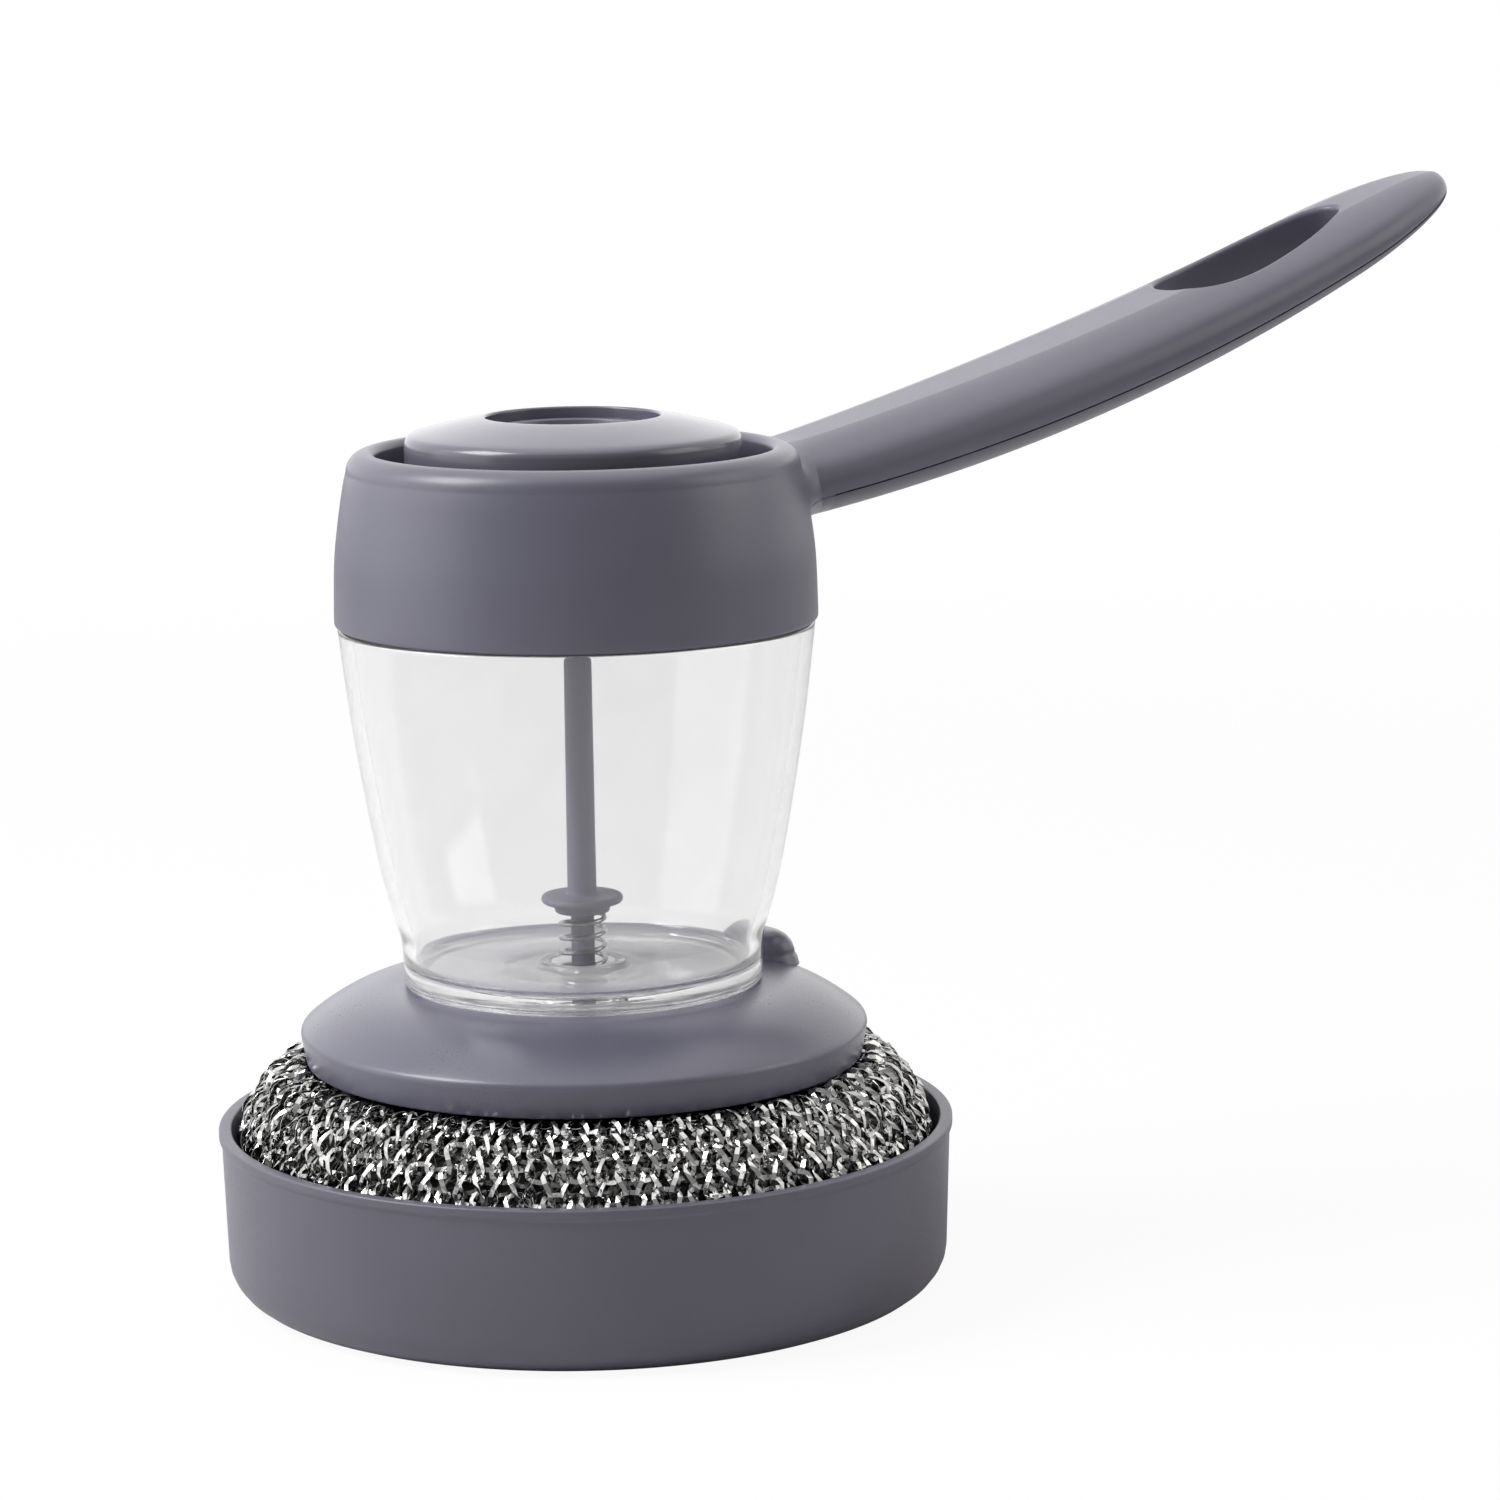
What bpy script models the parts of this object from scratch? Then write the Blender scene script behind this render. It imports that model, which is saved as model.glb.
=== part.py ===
# Soap dispensing scourer brush that stands in its own drip tray.
#
# Frame: +Z up, origin at the centre of the tray's flat base, handle along +X.
# The tank, cap, rod, head and tray share the vertical axis; the handle, the
# slot and the thumb tab lie in the XZ plane, which is the plane of symmetry.

import math

import bmesh
import bpy
from mathutils import Matrix
from mathutils import Vector


# Clearances shared by all the fits.
seat_gap = 0.0003
slide_gap = 0.00035
cut_overrun = 0.002
weld_distance = 0.000002

# Drip tray.
tray_radius = 0.0529
tray_draft = 0.0007
tray_height = 0.024
tray_wall = 0.0017
tray_floor = 0.0018
tray_fillet = 0.005
tray_lip = 0.0004
tray_lip_height = 0.0014
drain_rib_height = 0.001
drain_rib_width = 0.0016
drain_rib_start = 0.010
drain_rib_end = 0.043
drain_rib_count = 6

# Scourer head.
head_radius = 0.0411
head_top_height = 0.0441
head_rise = 0.0063
head_ledge = 0.0011
head_fullness = 1.75
head_wall = 0.0026
skirt_drop = 0.0044
skirt_draft = 0.0008
skirt_wall = 0.0022
hub_wall = 0.0010
hub_end_height = 0.0130
socket_depth = 0.0080
outlet_radius = 0.0090
tab_width = 0.0116
tab_thickness = 0.0074
tab_height = 0.0038
tab_round = 0.0031
tab_clearance = 0.0014

# Twist lock between the head and the tank.
lug_count = 3
lug_depth = 0.0014
lug_height = 0.0018
lug_half_angle = 10.0
lug_play_angle = 2.0
twist_angle = 45.0
seal_thickness = 0.0010

# Scourer, a ring of knitted steel ribbon drawn as its outer shape.
scourer_play = 0.0009
scourer_relief = 0.00045
scourer_hollow_depth = 0.0095
scourer_lobes = 16

# Shape of the scourer outside the skirt, from the skirt down to the tray.
scourer_spread_shares = (0.12, 0.54, 0.69, 0.88, 1.0, 1.0)
scourer_height_shares = (1.0, 0.93, 0.875, 0.78, 0.66, 0.46)
scourer_low_shares = (0.28, 0.09)

# Clamp plate under the scourer and its screws.
clamp_radius = 0.0200
clamp_thickness = 0.0026
clamp_step = 0.0006
screw_count = 3
screw_radius = 0.0011
screw_length = 0.0065
screw_head_radius = 0.0023
screw_head_height = 0.0012

# Clear tank.
tank_top_radius = 0.0342
tank_foot_radius = 0.0259
tank_height = 0.0522
tank_wall = 0.0018
tank_floor = 0.0024
tank_foot_width = 0.0034
tank_foot_depth = 0.0006
tank_corner = 0.0030
joint_step = 0.0034
joint_height = 0.0076
neck_wall = 0.0024
neck_height = 0.0138
spigot_radius = 0.0125
spigot_wall = 0.0020
spigot_length = 0.0074
well_play = 0.00115
well_wall = 0.0017
well_lip = 0.0008
well_lip_width = 0.0015
well_depth = 0.0056
valve_bore_play = 0.0010
valve_floor = 0.0016

# How the tank's outside narrows, from the shoulder down to the foot.
tank_fall_shares = (0.0, 0.20, 0.38, 0.54, 0.68, 0.79, 0.88, 1.0)
tank_draw_shares = (0.0, 0.145, 0.305, 0.475, 0.64, 0.81, 0.965, 1.0)

# Handle collar.
collar_wall = 0.0035
collar_draft = 0.0024
collar_rim_width = 0.0039
collar_height = 0.0250
collar_flange = 0.0018
gasket_thickness = 0.0007

# How the collar's outside narrows, from its rim down to its base.
collar_fall_shares = (0.22, 0.42, 0.64, 0.94)
collar_swell_shares = (0.31, 0.64, 0.90, 1.0)

# Handle arm.
arm_bury = 0.0022
arm_rise = 0.0171
arm_length = 0.1345
arm_root_angle = 9.8
arm_tip_angle = 25.0
arm_root_half_width = 0.0109
arm_mid_half_width = 0.0135
arm_tip_half_width = 0.0105
arm_root_half_depth = 0.0055
arm_mid_half_depth = 0.0067
arm_tip_half_depth = 0.0040
arm_flare_width = 0.0032
arm_flare_depth = 0.0007
arm_flare_reach = 0.0050
arm_wall = 0.0018
arm_fullness = 2.15
arm_facet_share = 0.945
arm_tip_fullness = 2.1
arm_round_share = 0.80
arm_tip_depth_share = 0.36
arm_tip_width_share = 0.10
arm_seam_share = 0.335
root_seam_share = 0.20
cover_start_share = 0.055
hollow_start_share = 0.070
hollow_end_share = 0.955
cover_band_end_share = 0.92
cover_lip_height = 0.0010
cover_lip_width = 0.0011
slot_middle_share = 0.714
slot_half_length = 0.0179
slot_half_width = 0.0077
slot_fullness = 2.3
slot_skew = 0.30
slot_wall = 0.0015
slot_round = 0.0009
slot_wall_slope = 0.1
slot_face_slope = 0.4

# Filler cap and its insert.
cap_moat = 0.0037
cap_float = 0.0009
cap_crown_rise = 0.0036
cap_crown_drop = 0.0015
cap_edge_round = 0.0019
cap_wall = 0.0014
cap_gasket_height = 0.0024
recess_radius = 0.01225
recess_depth = 0.0013
recess_wall = 0.0013
recess_tube_length = 0.0080
insert_wall = 0.0010
insert_roof = 0.0016
insert_floor = 0.0014

# Press button.
button_dish_radius = 0.0098
button_dish_depth = 0.0010
button_plate = 0.0016
button_skirt = 0.0014
button_length = 0.0048
button_pin_radius = 0.0026
button_travel = 0.0040

# Push rod and valve.
rod_top_radius = 0.00185
rod_radius = 0.00195
rod_low_radius = 0.0017
rod_flange_rise = 0.0096
rod_flange_width = 0.00215
rod_flange_depth = 0.0011
rod_flange_round = 0.0004
rod_step_width = 0.0006
rod_step_depth = 0.0015
rod_stub_radius = 0.0012
rod_seal_width = 0.00235
rod_seal_depth = 0.0012
rod_seal_cup = 0.0011
valve_cover = 0.0017
valve_depth = 0.0013
valve_foot_width = 0.0024
valve_foot_depth = 0.0016

# Return spring.
spring_play = 0.00115
spring_wire_radius = 0.0003
spring_pitch = 0.00272
spring_points_per_curl = 10

# Counts of segments round the turned pieces.
wide_steps = 40
middle_steps = 26
small_steps = 16
tiny_steps = 12
slot_steps = 26

# Heights, from the tray's floor up to the cap's crown.
scourer_base = tray_floor + drain_rib_height + seat_gap
head_edge_height = head_top_height - head_rise
head_ceiling = head_top_height - head_wall
skirt_height = head_edge_height - skirt_drop
socket_floor_height = head_top_height - socket_depth
tank_foot_height = head_top_height + seat_gap
tank_underside = tank_foot_height + tank_foot_depth
tank_floor_height = tank_underside + tank_floor
tank_shoulder_height = tank_foot_height + tank_height
spigot_end_height = tank_underside - spigot_length
lug_base_height = spigot_end_height + seat_gap
channel_base = lug_base_height - seat_gap
channel_top = lug_base_height + lug_height + seat_gap
well_floor_height = tank_floor_height - well_depth
valve_seat_height = well_floor_height - valve_floor
valve_top = valve_seat_height - seat_gap
valve_base = valve_top - valve_depth
valve_foot_top = valve_base - seat_gap
valve_foot_base = valve_foot_top - valve_foot_depth
valve_foot_inside = valve_foot_base + seat_gap
neck_base_height = tank_shoulder_height + joint_height
neck_top_height = neck_base_height + neck_height
collar_base_height = tank_shoulder_height + seat_gap
collar_rim_height = collar_base_height + collar_height
flange_height = neck_base_height + gasket_thickness + 2 * seat_gap
arm_height = collar_base_height + arm_rise
cap_base_height = flange_height + collar_flange + cap_float
insert_roof_height = neck_top_height + cap_gasket_height + 2 * seat_gap
insert_top_height = insert_roof_height + insert_roof
cap_edge_height = insert_top_height - seat_gap
cap_crown_height = cap_edge_height + cap_crown_rise
button_height = cap_crown_height - recess_depth
button_base_height = button_height - button_length
insert_floor_height = button_base_height - button_travel - 2 * seat_gap - insert_floor
rod_top_height = button_base_height - seat_gap
rod_flange_height = tank_floor_height + rod_flange_rise
rod_step_height = rod_flange_height - rod_flange_depth - rod_step_depth
spring_base = well_floor_height + seat_gap + spring_wire_radius
spring_top = rod_step_height - seat_gap - spring_wire_radius

# Radii, from the tray's foot and the rod out to the collar.
tray_foot_radius = tray_radius - tray_draft
spring_radius = rod_low_radius + spring_play + spring_wire_radius
well_radius = spring_radius + spring_wire_radius + well_play
valve_bore = rod_low_radius + valve_bore_play
valve_radius = valve_bore + valve_cover
valve_foot_radius = rod_stub_radius + valve_foot_width
rod_step_radius = spring_radius + rod_step_width
rod_flange_radius = rod_step_radius + rod_flange_width
rod_seal_radius = rod_top_radius + rod_seal_width
socket_radius = spigot_radius + seat_gap
channel_radius = spigot_radius + lug_depth + seat_gap
hub_radius = channel_radius + hub_wall
screw_circle = (outlet_radius + hub_radius) / 2
clamp_bore = outlet_radius - clamp_step
head_shoulder_radius = tank_foot_radius + head_ledge
skirt_radius = head_radius - skirt_draft
tab_reach = tank_foot_radius + tab_clearance + tab_thickness / 2
scourer_radius = tray_radius - tray_wall - scourer_play
joint_radius = tank_top_radius - joint_step
collar_radius = joint_radius + seat_gap + collar_wall
collar_rim_radius = collar_radius - collar_draft
collar_bore = collar_rim_radius - collar_rim_width
arm_start = collar_bore + arm_bury
cap_radius = collar_bore - cap_moat
cap_inner_radius = cap_radius - cap_wall
insert_outer_radius = cap_inner_radius - seat_gap
insert_inner_radius = insert_outer_radius - insert_wall
neck_radius = insert_inner_radius - seat_gap
button_radius = recess_radius - slide_gap
insert_well_radius = recess_radius + recess_wall + seat_gap


def clear_scene():
    for old in list(bpy.data.objects):
        bpy.data.objects.remove(old, do_unlink=True)


def new_collection(name):
    collection = bpy.data.collections.new(name)
    bpy.context.scene.collection.children.link(collection)
    return collection


clear_scene()
part_collection = new_collection("soap_dispensing_brush")
cutter_collection = new_collection("cutters")


def material(name, color, roughness, metallic=0.0, transmission=0.0):
    made = bpy.data.materials.new(name)
    made.use_nodes = True
    shader = made.node_tree.nodes["Principled BSDF"]
    shader.inputs["Base Color"].default_value = (*color, 1.0)
    shader.inputs["Roughness"].default_value = roughness
    shader.inputs["Metallic"].default_value = metallic
    shader.inputs["Transmission Weight"].default_value = transmission
    made.diffuse_color = (*color, 1.0)
    return made


def add_object(name, mesh, collection=part_collection):
    made = bpy.data.objects.new(name, mesh)
    collection.objects.link(made)
    return made


def as_cutter(made):
    for owner in list(made.users_collection):
        owner.objects.unlink(made)
    cutter_collection.objects.link(made)
    made.hide_render = True
    made.display_type = "WIRE"
    return made


# Replaces an object's mesh by its evaluated one, welded and facing out.
def bake(made, sharp_angle=32.0):
    graph = bpy.context.evaluated_depsgraph_get()
    graph.update()
    mesh = bpy.data.meshes.new_from_object(made.evaluated_get(graph))
    made.modifiers.clear()
    shape = bmesh.new()
    shape.from_mesh(mesh)
    bmesh.ops.remove_doubles(shape, verts=shape.verts, dist=weld_distance)
    bmesh.ops.dissolve_degenerate(shape, dist=weld_distance, edges=shape.edges)
    bmesh.ops.recalc_face_normals(shape, faces=shape.faces)
    shape.to_mesh(mesh)
    shape.free()
    made.data = mesh
    mesh.shade_smooth()
    mesh.set_sharp_from_angle(angle=math.radians(sharp_angle))
    return made


# Points of an arc in the (radius, height) plane.
def arc(center_r, center_z, radius, start, end, count):
    points = []
    for step in range(count + 1):
        angle = math.radians(start + (end - start) * step / count)
        points.append((center_r + radius * math.cos(angle), center_z + radius * math.sin(angle)))
    return points


# Turned solid. The outline runs down its outer side and back up its inner
# side; one that starts and ends on the axis is left open there.
def turned(name, outline, steps=wide_steps):
    mesh = bpy.data.meshes.new(name)
    count = len(outline)
    closes = outline[0][0] > 0 or outline[-1][0] > 0
    edges = [(index, (index + 1) % count) for index in range(count if closes else count - 1)]
    mesh.from_pydata([(r, 0, z) for r, z in outline], edges, [])
    made = add_object(name, mesh)
    screw = made.modifiers.new("turn", "SCREW")
    screw.axis = "Z"
    screw.angle = 2 * math.pi
    screw.steps = steps
    screw.render_steps = steps
    screw.use_merge_vertices = True
    screw.merge_threshold = weld_distance
    return bake(made)


def boolean(made, other, operation):
    step = made.modifiers.new(operation.lower(), "BOOLEAN")
    step.operation = operation
    step.solver = "EXACT"
    step.object = other
    return made


# Joins the others into one solid and leaves only that one.
def join(made, others):
    for other in others:
        boolean(made, other, "UNION")
        bake(made)
        bpy.data.objects.remove(other, do_unlink=True)
    return made


def cut(made, cutters):
    for cutter in cutters:
        boolean(made, as_cutter(cutter), "DIFFERENCE")
        bake(made)
    return made


# Solid skinned over rings of points that all have the same count.
def loft(name, rings, closed=False):
    mesh = bpy.data.meshes.new(name)
    shape = bmesh.new()
    rows = [[shape.verts.new(point) for point in ring] for ring in rings]
    pairs = list(zip(rows, rows[1:]))
    if closed:
        pairs.append((rows[-1], rows[0]))
    for low, high in pairs:
        for index in range(len(low)):
            after = (index + 1) % len(low)
            shape.faces.new((low[index], low[after], high[after], high[index]))
    if not closed:
        shape.faces.new(list(reversed(rows[0])))
        shape.faces.new(rows[-1])
    bmesh.ops.recalc_face_normals(shape, faces=shape.faces)
    shape.to_mesh(mesh)
    shape.free()
    return add_object(name, mesh)


def box(name, low, high):
    bpy.ops.mesh.primitive_cube_add(size=1)
    made = bpy.context.active_object
    made.name = name
    middle = [(a + b) / 2 for a, b in zip(low, high)]
    size = [b - a for a, b in zip(low, high)]
    made.data.transform(Matrix.LocRotScale(Vector(middle), None, Vector(size)))
    return made


def cylinder(name, radius, low, high, x=0.0, y=0.0, steps=small_steps):
    bpy.ops.mesh.primitive_cylinder_add(vertices=steps, radius=radius, depth=high - low)
    made = bpy.context.active_object
    made.name = name
    made.data.transform(Matrix.Translation((x, y, (low + high) / 2)))
    return made


# Ring sector between two radii, two heights and two angles in degrees.
def sector(name, inner, outer, low, high, start, end, steps=8):
    rings = []
    for step in range(steps + 1):
        angle = math.radians(start + (end - start) * step / steps)
        side = Vector((math.cos(angle), math.sin(angle), 0))
        corners = ((inner, low), (outer, low), (outer, high), (inner, high))
        rings.append([side * r + Vector((0, 0, z)) for r, z in corners])
    return loft(name, rings)


# Places round the axis, one for each of a count.
def around(count, radius, turn=0.0):
    places = []
    for index in range(count):
        angle = math.radians(turn) + 2 * math.pi * index / count
        places.append((radius * math.cos(angle), radius * math.sin(angle), math.degrees(angle)))
    return places


def finish(made, look):
    made.name = look["node"]
    made.data.name = look["node"]
    made.data.materials.clear()
    made.data.materials.append(look["material"])
    for owner in list(made.users_collection):
        owner.objects.unlink(made)
    part_collection.objects.link(made)
    return made


def look(node, color, roughness, metallic=0.0, transmission=0.0):
    return {"node": node, "material": material(node, color, roughness, metallic, transmission)}


slate = (0.135, 0.135, 0.165)
slate_dark = (0.10, 0.10, 0.125)
clear_plastic = (0.93, 0.94, 0.96)
silicone = (0.32, 0.33, 0.36)
steel = (0.62, 0.62, 0.63)


# Open cup with a small rolled lip, a round foot edge and low drain ribs.
def make_drip_tray():
    lip_base = tray_height - tray_lip_height
    lip_radius = tray_radius + tray_lip
    lip_round = tray_wall / 2
    inner_radius = tray_radius - tray_wall
    inner_foot = tray_foot_radius - tray_wall
    inner_fillet = tray_fillet - tray_wall
    outline = [(0, tray_floor)]
    outline += arc(inner_foot - inner_fillet, tray_floor + inner_fillet, inner_fillet, -90, 0, 3)
    outline += [(inner_radius, lip_base)]
    outline += [(inner_radius + tray_lip / 2, tray_height - tray_lip)]
    outline += arc(lip_radius - lip_round, tray_height - lip_round, lip_round, 90, 0, 3)
    outline += [(tray_radius, lip_base)]
    outline += arc(tray_foot_radius - tray_fillet, tray_fillet, tray_fillet, 0, -90, 5)
    outline += [(0, 0)]
    tray = turned("drip_tray", outline)
    ribs = []
    for x, y, angle in around(drain_rib_count, 0):
        rib_top = tray_floor + drain_rib_height
        half = drain_rib_width / 2
        rib_foot = tray_floor - seat_gap
        rib = box("drain_rib", (drain_rib_start, -half, rib_foot), (drain_rib_end, half, rib_top))
        rib.data.transform(Matrix.Rotation(math.radians(angle), 4, "Z"))
        ribs.append(rib)
    return finish(join(tray, ribs), look("drip_tray", slate, 0.42))


# Half the tank's outside, from the shoulder down to the foot.
def tank_side(inset=0.0):
    height = tank_shoulder_height - tank_foot_height
    draw = tank_top_radius - tank_foot_radius
    points = []
    for fall, drawn in zip(tank_fall_shares, tank_draw_shares):
        points.append((tank_top_radius - draw * drawn - inset, tank_shoulder_height - height * fall))
    return points


def make_tank():
    side = tank_side()
    top_r, top_z = side[0]
    inner_joint = joint_radius - tank_wall
    inner_neck = neck_radius - neck_wall
    corner_z = tank_floor_height + tank_corner
    corner_r = tank_side(tank_wall)[-2][0] - tank_corner
    foot_inner = tank_foot_radius - tank_foot_width
    spigot_inner = spigot_radius - spigot_wall
    well_outer = well_radius + well_wall
    lip_radius = well_radius + well_lip_width
    outline = [(inner_neck, neck_top_height), (neck_radius, neck_top_height)]
    outline += [(neck_radius, neck_base_height), (joint_radius, neck_base_height)]
    outline += [(joint_radius, tank_shoulder_height)]
    outline += side
    outline += [(foot_inner, tank_foot_height), (foot_inner, tank_underside)]
    outline += [(spigot_radius, tank_underside), (spigot_radius, spigot_end_height)]
    outline += [(spigot_inner, spigot_end_height), (spigot_inner, tank_underside)]
    outline += [(well_outer, tank_underside), (well_outer, valve_seat_height)]
    outline += [(valve_bore, valve_seat_height), (valve_bore, well_floor_height)]
    outline += [(well_radius, well_floor_height), (well_radius, tank_floor_height + well_lip)]
    outline += [(lip_radius, tank_floor_height + well_lip)]
    outline += [(lip_radius + well_lip, tank_floor_height)]
    outline += arc(corner_r, corner_z, tank_corner, -90, 0, 3)
    inner_side = [point for point in tank_side(tank_wall) if point[1] > corner_z + tank_wall]
    outline += list(reversed(inner_side[1::2]))
    outline += [(top_r - tank_wall, top_z - tank_wall)]
    outline += [(inner_joint, top_z + tank_wall), (inner_joint, neck_base_height - tank_wall)]
    outline += [(inner_neck, neck_base_height - tank_wall)]
    tank = turned("tank", outline)
    lugs = []
    for x, y, angle in around(lug_count, 0):
        start = angle - lug_half_angle
        end = angle + lug_half_angle
        inner = spigot_radius - spigot_wall / 2
        outer = spigot_radius + lug_depth
        low = lug_base_height
        lugs.append(sector("lug", inner, outer, low, low + lug_height, start, end, 4))
    return finish(join(tank, lugs), look("tank", clear_plastic, 0.06, 0.0, 0.9))


# Domed disc with a skirt, a hub with the twist-lock socket, and a thumb tab.
def make_head_disc():
    ceiling_round = head_radius - head_shoulder_radius
    skirt_inner = skirt_radius - skirt_wall
    rise = head_top_height - head_edge_height
    crown = []
    for step in range(1, 6):
        angle = math.radians(90 - 15 * step)
        power = 2 / head_fullness
        across = ceiling_round * math.cos(angle) ** power
        crown.append((head_shoulder_radius + across, head_edge_height + rise * math.sin(angle) ** power))
    outline = [(socket_radius, head_top_height), (head_shoulder_radius, head_top_height)]
    outline += crown
    outline += [(head_radius, head_edge_height), (head_radius - seat_gap, head_edge_height - 3 * seat_gap)]
    outline += [(skirt_radius, skirt_height + seat_gap), (skirt_radius - seat_gap, skirt_height)]
    outline += [(skirt_inner, skirt_height), (skirt_inner, head_edge_height - seat_gap)]
    outline += [(head_shoulder_radius + head_wall, head_ceiling)]
    outline += [(hub_radius, head_ceiling), (hub_radius, hub_end_height)]
    outline += [(outlet_radius, hub_end_height), (outlet_radius, socket_floor_height)]
    outline += [(socket_radius, socket_floor_height)]
    disc = turned("head_disc", outline)
    cutters = []
    for x, y, angle in around(lug_count, 0):
        half = lug_half_angle + lug_play_angle
        entry = angle - twist_angle
        inner = socket_radius - cut_overrun
        top = head_top_height + cut_overrun
        channel = (inner, channel_radius, channel_base, channel_top, entry - half, angle + half)
        cutters.append(sector("lock_channel", *channel))
        slot = (inner, channel_radius, channel_base, top, entry - half, entry + half)
        cutters.append(sector("lock_entry", *slot))
    for x, y, angle in around(screw_count, screw_circle, 60):
        top = hub_end_height + screw_length + cut_overrun
        radius = screw_radius + seat_gap
        cutters.append(cylinder("screw_hole", radius, hub_end_height - cut_overrun, top, x, y, tiny_steps))
    cut(disc, cutters)
    return finish(join(disc, [make_thumb_tab()]), look("head_disc", slate_dark, 0.38))


# Upright tab behind the tank, broad across the pull and round on top.
def make_thumb_tab():
    base = head_top_height - head_wall / 2
    tab = cylinder("thumb_tab", tab_width / 2, base, head_top_height + tab_height, steps=tiny_steps + 4)
    tab.data.transform(Matrix.Scale(tab_thickness / tab_width, 4, Vector((1, 0, 0))))
    tab.data.transform(Matrix.Translation((tab_reach, 0, 0)))
    top = head_top_height + tab_height - seat_gap
    shape = bmesh.new()
    shape.from_mesh(tab.data)
    edges = [edge for edge in shape.edges if min(vert.co.z for vert in edge.verts) > top]
    bmesh.ops.bevel(shape, geom=edges, offset=tab_round, segments=3, profile=0.5, affect="EDGES")
    shape.to_mesh(tab.data)
    shape.free()
    return tab


# The scourer's section, from its top inner edge out, down and back.
def scourer_section():
    hole = hub_radius + 2 * seat_gap
    clamp_clear = clamp_radius + 4 * seat_gap
    under_clamp = hub_end_height
    top = head_ceiling - 2 * seat_gap
    rim = skirt_radius - skirt_wall - 2 * seat_gap
    below_skirt = skirt_height - 2 * seat_gap
    depth = skirt_height - scourer_base
    wall_inner = tray_foot_radius - tray_wall - 4 * seat_gap
    spread = scourer_radius - skirt_radius
    points = [(hole, top), (head_shoulder_radius, top), (rim, head_edge_height - 5 * seat_gap)]
    points += [(rim, below_skirt), (skirt_radius, below_skirt - seat_gap)]
    for out, up in zip(scourer_spread_shares, scourer_height_shares):
        points.append((skirt_radius + spread * out, scourer_base + depth * up))
    points += [(wall_inner - seat_gap, scourer_base + depth * scourer_low_shares[0])]
    points += [(wall_inner - 5 * seat_gap, scourer_base + depth * scourer_low_shares[1])]
    points += [(wall_inner - tray_fillet - seat_gap, scourer_base)]
    points += [(clamp_clear + scourer_hollow_depth / 2, scourer_base)]
    points += [(clamp_clear, scourer_base + scourer_hollow_depth / 2)]
    points += [(clamp_clear, under_clamp), (hole, under_clamp)]
    return points


def make_scourer():
    section = scourer_section()
    steps = 3 * scourer_lobes
    rings = []
    for step in range(steps):
        angle = 2 * math.pi * step / steps
        ring = []
        for index, (r, z) in enumerate(section):
            free = r > skirt_radius + 2 * seat_gap and z > scourer_base + seat_gap
            wave = math.cos(scourer_lobes * angle + math.pi * (index % 2)) - 1
            swell = scourer_relief * wave / 2 if free else 0.0
            ring.append(((r + swell) * math.cos(angle), (r + swell) * math.sin(angle), z))
        rings.append(ring)
    scourer = bake(loft("scourer", rings, closed=True))
    return finish(scourer, look("scourer", steel, 0.3, 1.0))


def make_scourer_clamp():
    top = hub_end_height - seat_gap
    low = top - clamp_thickness
    rounding = clamp_thickness / 3
    outline = [(clamp_bore, top), (clamp_radius, top)]
    outline += arc(clamp_radius - rounding, low + rounding, rounding, 0, -90, 3)
    outline += [(clamp_bore, low)]
    clamp = turned("scourer_clamp", outline, small_steps)
    cutters = []
    for x, y, angle in around(screw_count, screw_circle, 60):
        hole = screw_radius + seat_gap
        head = screw_head_radius + seat_gap
        pocket = low + screw_head_height + seat_gap
        cutters.append(cylinder("screw_hole", hole, low - cut_overrun, top + cut_overrun, x, y, tiny_steps))
        cutters.append(cylinder("screw_pocket", head, low - cut_overrun, pocket, x, y, tiny_steps))
    cut(clamp, cutters)
    return finish(clamp, look("scourer_clamp", slate_dark, 0.4))


def make_clamp_screws():
    low = hub_end_height - seat_gap - clamp_thickness
    top = hub_end_height + screw_length
    for index, (x, y, angle) in enumerate(around(screw_count, screw_circle, 60)):
        tip = top - screw_radius
        head_top = low + screw_head_height
        outline = [(0, top), (screw_radius / 2, top), (screw_radius, tip), (screw_radius, head_top)]
        outline += [(screw_head_radius, head_top), (screw_head_radius, low + seat_gap)]
        outline += [(screw_head_radius - seat_gap, low), (0, low)]
        screw = turned("clamp_screw", outline, tiny_steps)
        screw.data.transform(Matrix.Translation((x, y, 0)))
        finish(screw, look("clamp_screw_%d" % (index + 1), steel, 0.3, 1.0))


def ring_piece(node, inner, outer, low, high, color, roughness):
    soften = min(outer - inner, high - low) / 4
    outline = [(inner, high), (outer - soften, high), (outer, high - soften)]
    outline += [(outer, low + soften), (outer - soften, low), (inner, low)]
    return finish(turned(node, outline, small_steps), look(node, color, roughness))


def make_seals():
    low = socket_floor_height + seat_gap
    high = min(low + seal_thickness, spigot_end_height - seat_gap)
    inner = outlet_radius + seat_gap
    ring_piece("socket_seal", inner, spigot_radius - seat_gap, low, high, silicone, 0.6)
    low = neck_base_height + seat_gap
    inner = neck_radius + 2 * seat_gap
    high = low + gasket_thickness
    ring_piece("tank_gasket", inner, joint_radius - seat_gap, low, high, silicone, 0.6)
    low = neck_top_height + seat_gap
    high = low + cap_gasket_height
    inner = neck_radius - neck_wall
    ring_piece("cap_gasket", inner, neck_radius, low, high, silicone, 0.6)
    high = insert_floor_height - seat_gap
    low = high - rod_seal_depth
    inner = rod_top_radius + seat_gap
    ring_piece("rod_seal", inner, rod_seal_radius, low, high, silicone, 0.6)


# Outside of the collar, from its rim down to its base.
def collar_side():
    height = collar_rim_height - collar_base_height
    swell = collar_radius - collar_rim_radius
    points = []
    for fall, grown in zip(collar_fall_shares, collar_swell_shares):
        points.append((collar_rim_radius + swell * grown, collar_rim_height - height * fall))
    return points


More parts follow.
